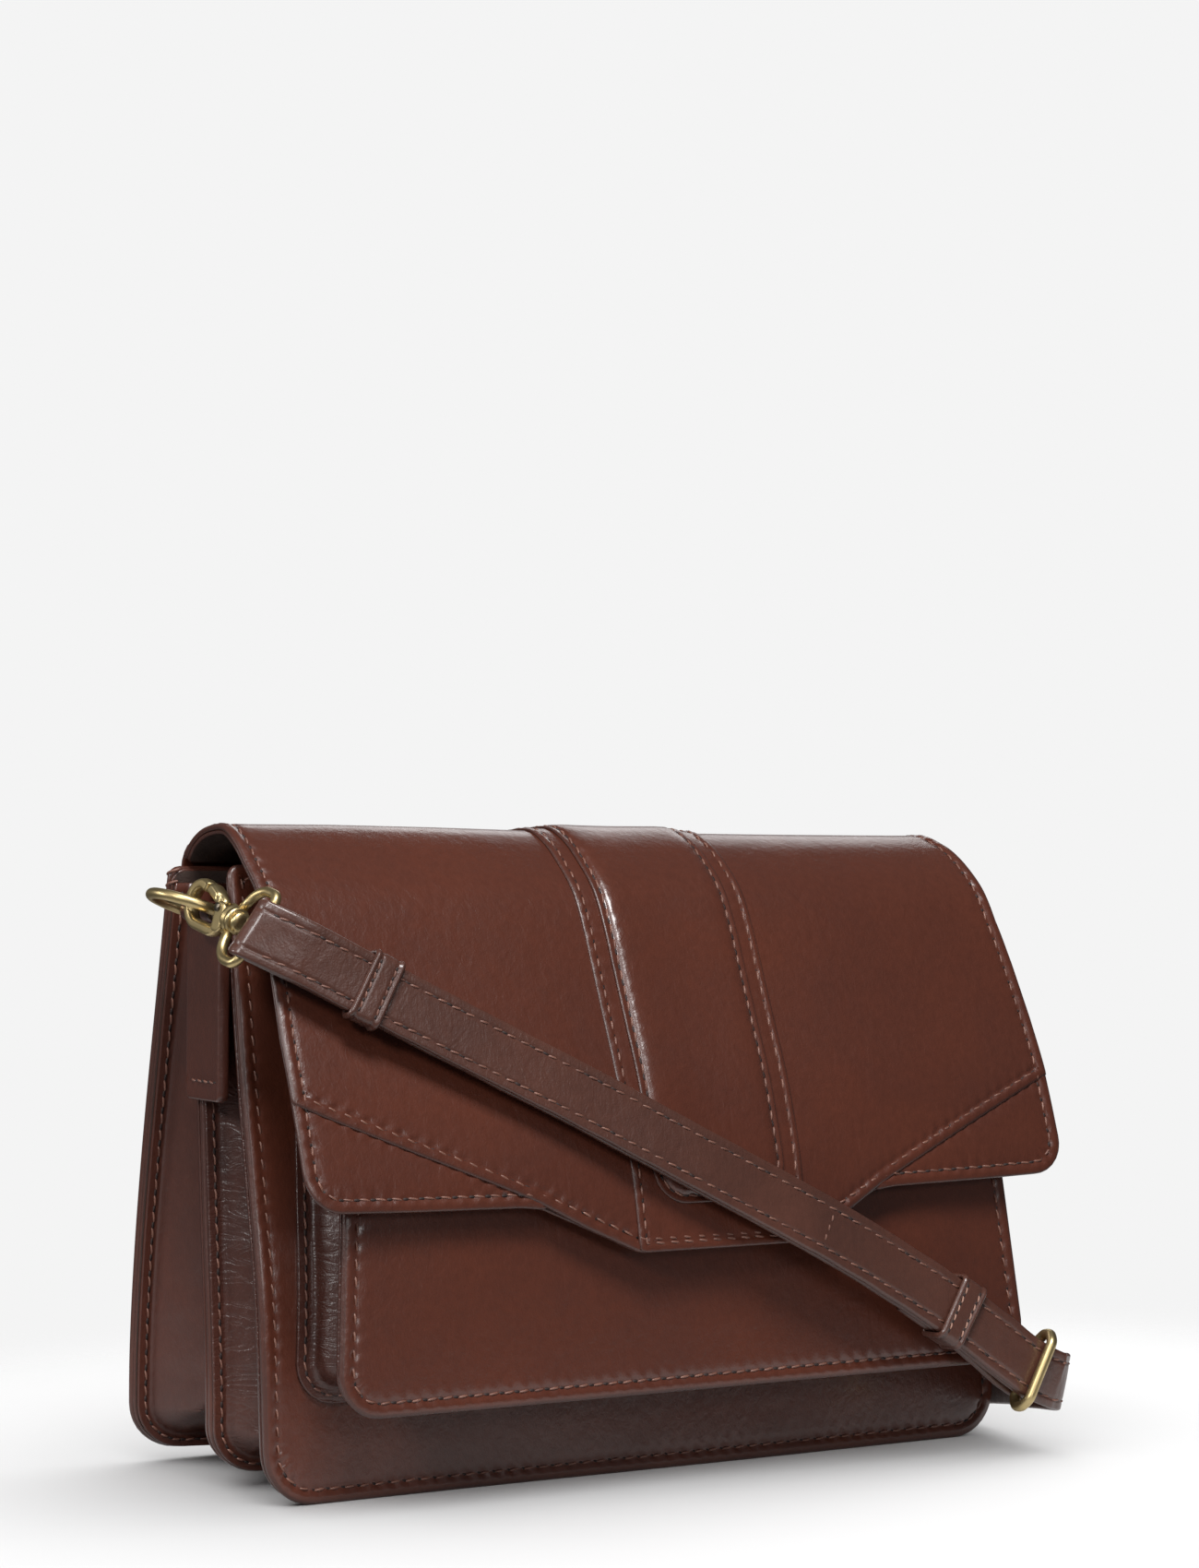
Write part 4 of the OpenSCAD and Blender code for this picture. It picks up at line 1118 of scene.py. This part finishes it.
def lathe(sections, n=36):
    """A round piece about the local X axis: points and faces from (x, r) pairs."""
    ang = np.linspace(0, 2 * math.pi, n, endpoint=False)
    v = [(x, r * math.cos(q), r * math.sin(q)) for x, r in sections for q in ang]
    return np.array(v), quads(len(sections), n) + caps(len(sections), n)


GATE_HALF, GATE_NECK = 1.95, 1.18


def hook_parts(side):
    """One snap hook: its body with cheeks and post, its gate and rivet, and the swivel loop."""
    at, brass = PLACE[side], [MAT["brass"]]

    def put(v):
        return turn(v, HOOK_TURN[side]) + at

    def loop_put(v):
        return turn(v, LOOP_TURN[side]) + at

    def plate(u, v, d):
        return put(np.stack([u, d, v], -1))

    def cut(name, outline, d0, d1, place=plate, **kw):
        return slab(name, outline, d0, d1, place, brass * 3, body=None, **kw)[0]

    outer = [(4.2 + 7.4 * math.cos(q), 7.4 * math.sin(q)) for q in
             np.radians(np.linspace(66, 270, 40))]
    inner = [(4.2 + 4.2 * math.cos(q), 4.2 * math.sin(q)) for q in
             np.radians(np.linspace(-90, -299, 34))]
    c = [(6.2, 4.4)] + outer + [(12.5, -7.4), (14.6, -6.6), (16.2, -5.0), (16.6, -3), (16.6, 0.9),
                                (15.1, 0.9), (15.0, -3.4), (14.2, -4.2)] + inner
    parts = [cut("plate", c, -2.0, 2.0, rim=0.85, loops=(0.5, 1.0), grid=1.6, step=0.55)]
    cheek = rounded_path([(15.2, -5), (18.4, -5.0), (20, -3.4), (20, 2.6), (18.6, 3.7),
                          (16.2, 3.9), (15.0, 2.6)], 1.1)
    for d0 in (-2.8, 1.4):
        parts.append(cut("cheek", cheek, d0, d0 + 1.4, rim=0.5, loops=(0.5,), grid=1.5, step=0.5))
    core = rounded_path([(15.2, -4.8), (19.8, -4.6), (19.8, 3.0), (18.7, 3.2), (18.7, -0.5),
                         (15.2, -0.5)], 0.3)
    parts.append(cut("core", core, -1.5, 1.5, rim=0.2, grid=1.5, step=0.6))
    v, f = lathe([(19.3, 0.1), (19.3, 2.0), (24.6, 2.0), (24.7, 2.7), (24.95, 3.05), (25.4, 3.1),
                  (26.0, 2.95), (26.4, 2.4), (26.6, 1.4), (26.65, 0.1)])
    parts.append(solid("post", put(v), f, brass, body=None))
    merged("hook_%s_body" % side, parts, "clasp_" + side, replaces=("hook_" + side,),
           slot="brass")

    # the gate is narrower where it runs between the cheeks
    def narrowed(u, v, d):
        neck = np.clip((u - 13.0) / 0.9, 0, 1)
        return plate(u, v, d * (1 - neck * (1 - GATE_NECK / GATE_HALF)))

    g = rounded_path([(6.7, 4.4), (7.75, 7.0), (9.4, 7.15), (13.2, 5.7), (15.6, 4.8), (17.0, 3.8),
                      (16.6, 1.2), (15.4, 0.7), (13.2, 2.2)], 0.7, 4)
    gate = cut("gate", g, -GATE_HALF, GATE_HALF, narrowed, rim=0.75, loops=(0.5, 1.0), grid=1.3,
               step=0.5)
    merged("gate_%s_bar" % side, [gate], "gate_" + side, replaces=("gate_" + side,),
           slot="brass")
    pin = [(-3.4, 0.1), (-3.4, 0.9), (-3.2, 1.25), (-2.85, 1.3), (-2.82, 0.78)]
    v, f = lathe(pin + [(-x, r) for x, r in reversed(pin)], 24)
    solid("gate_pin_%s_rivet" % side, plate(16.5 + v[:, 1], 1.9 + v[:, 2], v[:, 0]), f,
          [MAT["dark_metal"]], body="clasp_" + side, replaces=("gate_pin_" + side,),
          slot="brass")
    # the swivel loop, whose collar is open at both ends
    v, f = lathe([(20.35, 2.1), (20.35, 3.5), (20.7, 3.9), (21.6, 3.95), (22.0, 3.6), (22.6, 3.6),
                  (23.0, 3.95), (23.9, 3.9), (24.3, 3.4), (24.3, 2.1)])
    collar = make("collar", loop_put(v), f[:-2], brass, body=None)
    half = [(22.35, 0, 2.9), (24.4, 0, 8.6), (27.6, 0, 11.1), (32.9, 0, 11.1), (34.5, 0, 9.7)]
    p = rounded_path(half + [(x, y, -z) for x, y, z in reversed(half)], 1.9, closed=False)
    loop = tube("loop", loop_put(p), LOOP_WIRE, 16, normal=turn((0, 1, 0), LOOP_TURN[side]),
                body=None)
    merged("swivel_loop_%s_wire" % side, [collar, loop], "bag",
           replaces=("swivel_loop_" + side,), slot="brass")


for side, _ in SIDES:
    hook_parts(side)

# the slide buckle
span = float(np.linalg.norm(rear_bar - front_bar))
bx = unit(rear_bar - front_bar)
bz = unit(q_w - (q_w @ bx) * bx)
bar_half, cut_ = STRAP_W / 2 + 0.6, 2.6
corners = [(0, -bar_half), (0, bar_half), (cut_, bar_half + cut_),
           (span - cut_, bar_half + cut_), (span, bar_half), (span, -bar_half),
           (span - cut_, -bar_half - cut_), (cut_, -bar_half - cut_)]
frame_path = rounded_path([front_bar + x * bx + z * bz for x, z in corners], 1.2, 5)
tube("slide_buckle_wire", frame_path, WIRE_R, 16, closed=True, normal=np.cross(bx, bz),
     body="bag", replaces=("slide_buckle",), slot="brass")

# ---- side tabs
TAB_SEAM_Z, TAB_HALF, WRAP_R, WRAP_IN = 116.2, 8.9, 2.88, 1.66


def tab_face(u, v, dist, run):
    return -0.35 * np.exp(-((v - TAB_SEAM_Z) / 1.0) ** 2) \
        + 0.15 * noise(u * 0.2, v * 0.12, 0, 19) * np.clip(dist / 3, 0, 1)


for side, s in SIDES:
    name = "side_tab_" + side

    def on_side(u, v, d, s=s):
        return np.stack([s * (HALF_W + d), RING_Y + u, v], -1)

    outline = mirrored([(8.4, RING_Z + 0.4), (TAB_HALF, RING_Z - 2.2), (10.9, RING_Z - 4.6),
                        (10.9, 116)] + arc((TAB_HALF, 112.5), 2.0, 0, -90, 5))
    slab(name + "_leather", outline, 0.05, 3.5, on_side, [MAT["side_leather"]] * 3,
         face=tab_face, rim=0.8, loops=(0.8, 1.5, 2.6), grid=1.5, step=1.4, replaces=(name,),
         slot="leather")
    seam = Sewing()
    seam.row(np.array([(x, TAB_SEAM_Z) for x in np.linspace(-8.6, 8.6, 12)]), on_side, 3.2,
             pitch=3.6, size=2.5)
    seam.sew(name + "_stitches", "bag")
    # the leather wrapped round the ring's bar
    ang = np.radians(np.linspace(-100, 190, 26))
    sec = [(WRAP_R * math.cos(q), WRAP_R * math.sin(q), True) for q in ang] \
        + [(WRAP_IN * math.cos(q), WRAP_IN * math.sin(q), False) for q in ang[::-1]]
    ys = np.r_[-TAB_HALF, np.linspace(-8.4, 8.4, 15), TAB_HALF]
    v, m, n = [], len(sec), len(ang)
    for y in ys:
        for x, z, is_outer in sec:
            k = 0.94 if is_outer and abs(y) == TAB_HALF else 1
            v.append((s * (RING_X + x * k), RING_Y + y, RING_Z + z * k))
    f, last = quads(len(ys), m), (len(ys) - 1) * m
    for k in range(n - 1):
        f.append((k, k + 1, m - 2 - k, m - 1 - k))
        f.append((last + k, last + m - 1 - k, last + m - 2 - k, last + k + 1))
    solid(name + "_wrap", v, f, [MAT["leather"]], slot="leather")

# whip stitches at the back panel's top left corner
whip = []
for k in range(3):
    x, z = -HALF_W, 174.6 - 3.4 * k
    y0, y1 = float(back_y(z)) - 3.6, float(back_y(z)) + 0.3
    p = catmull([(x + 2.6, y1 - 0.2, z - 1.0), (x + 1.0, y1 + 0.35, z - 0.5),
                 (x - 0.35, y1 - 0.1, z), (x - 0.55, (y0 + y1) / 2, z + 0.6),
                 (x - 0.35, y0 + 0.1, z + 1.0), (x + 1.2, y0 - 0.3, z + 1.4)], 5)
    whip.append(tube("whip", p, 0.42, 8, mat="thread", body=None))
merged("whip_stitches_left", whip, "bag")

# ---- carried-over CAD pieces
for n, mat, width in (("gate_spring_left", "steel", 0.12), ("gate_spring_right", "steel", 0.12),
                      ("snap_stud", "brass", 0.3), ("snap_socket", "brass", 0.3),
                      ("snap_washer", "steel", 0.3)):
    o = frame["nodes"][n]
    o.data.materials.clear()
    o.data.materials.append(MAT[mat])
    bevelled(o, width)

# ---- floor, backdrop and light
BACKDROP, FLOOR_GREY, AMBIENT = 0.905, 0.82, (0.085, 0.085, 0.088, 1)
bpy.ops.mesh.primitive_circle_add(vertices=96, radius=9, fill_type="NGON")
floor = bpy.context.object
floor.name = "floor"
# a round patch that takes the shadow and fades into the backdrop
floor_mat = bpy.data.materials.new("floor")
nt = empty_tree(floor_mat)
far = add(nt, "VectorMath", {0: mapped(nt, (0.72, 1, 1))}, operation="LENGTH")
fade = add(nt, "MapRange", {"From Min": 0.12, "From Max": 0.34, "Value": far.outputs["Value"]},
           interpolation_type="SMOOTHERSTEP")
patch = add(nt, "BsdfDiffuse", {"Color": (FLOOR_GREY, FLOOR_GREY, FLOOR_GREY, 1)})
mix = add(nt, "MixShader", {0: fade.outputs["Result"], 1: patch.outputs[0],
                            2: add(nt, "BsdfTransparent").outputs[0]})
add(nt, "OutputMaterial", {0: mix.outputs[0]})
floor.data.materials.append(floor_mat)

scene.world = bpy.data.worlds.new("world")
nt = empty_tree(scene.world)
mix = add(nt, "MixShader", {
    0: add(nt, "LightPath").outputs["Is Camera Ray"],
    1: add(nt, "Background", {0: AMBIENT}).outputs[0],
    2: add(nt, "Background", {0: (BACKDROP, BACKDROP, BACKDROP, 1)}).outputs[0]})
add(nt, "OutputWorld", {0: mix.outputs[0]})

# the sun lights only the floor, and the area lights only the bag
bag_light = bpy.data.collections.new("bag_light")
floor_only = bpy.data.collections.new("floor_only")
for c in (bag_light, floor_only):
    scene.collection.children.link(c)
floor_only.objects.link(floor)
for o in list(scene.objects):
    if o.type == "MESH" and o is not floor:
        bag_light.objects.link(o)


def light(name, kind, power, receivers, **settings):
    d = bpy.data.lights.new(name, kind)
    d.energy = power
    for k, v in settings.items():
        setattr(d, k, v)
    o = bpy.data.objects.new(name, d)
    scene.collection.objects.link(o)
    o.light_linking.receiver_collection = receivers
    return o


sun = light("floor_sun", "SUN", 4.05, floor_only, angle=math.radians(120))
sun.rotation_euler = (math.radians(8), math.radians(10), 0)
for name, at, to, width, height, power in (
        ("key", (-1.45, -0.85, 0.95), (0, -0.03, 0.10), 0.28, 0.28, 14),
        ("top", (-0.35, -0.75, 1.35), (0, -0.02, 0.12), 0.5, 0.4, 27),
        ("left", (-1.35, 0.45, 0.55), (-0.1, 0, 0.1), 0.28, 0.5, 6.5),
        ("front", (-0.35, -2.0, 0.7), (0, 0, 0.1), 0.5, 0.4, 6),
        ("rim", (0.9, 1.2, 1.0), (0, 0, 0.16), 0.7, 0.5, 2.4)):
    o = light(name, "AREA", power, bag_light, shape="RECTANGLE", size=width, size_y=height)
    o.location = at
    o.rotation_euler = (Vector(to) - Vector(at)).to_track_quat("-Z", "Y").to_euler()
scene.view_settings.view_transform = "Standard"
scene.view_settings.look = "None"
scene.view_settings.exposure = 0
scene.view_settings.gamma = 1
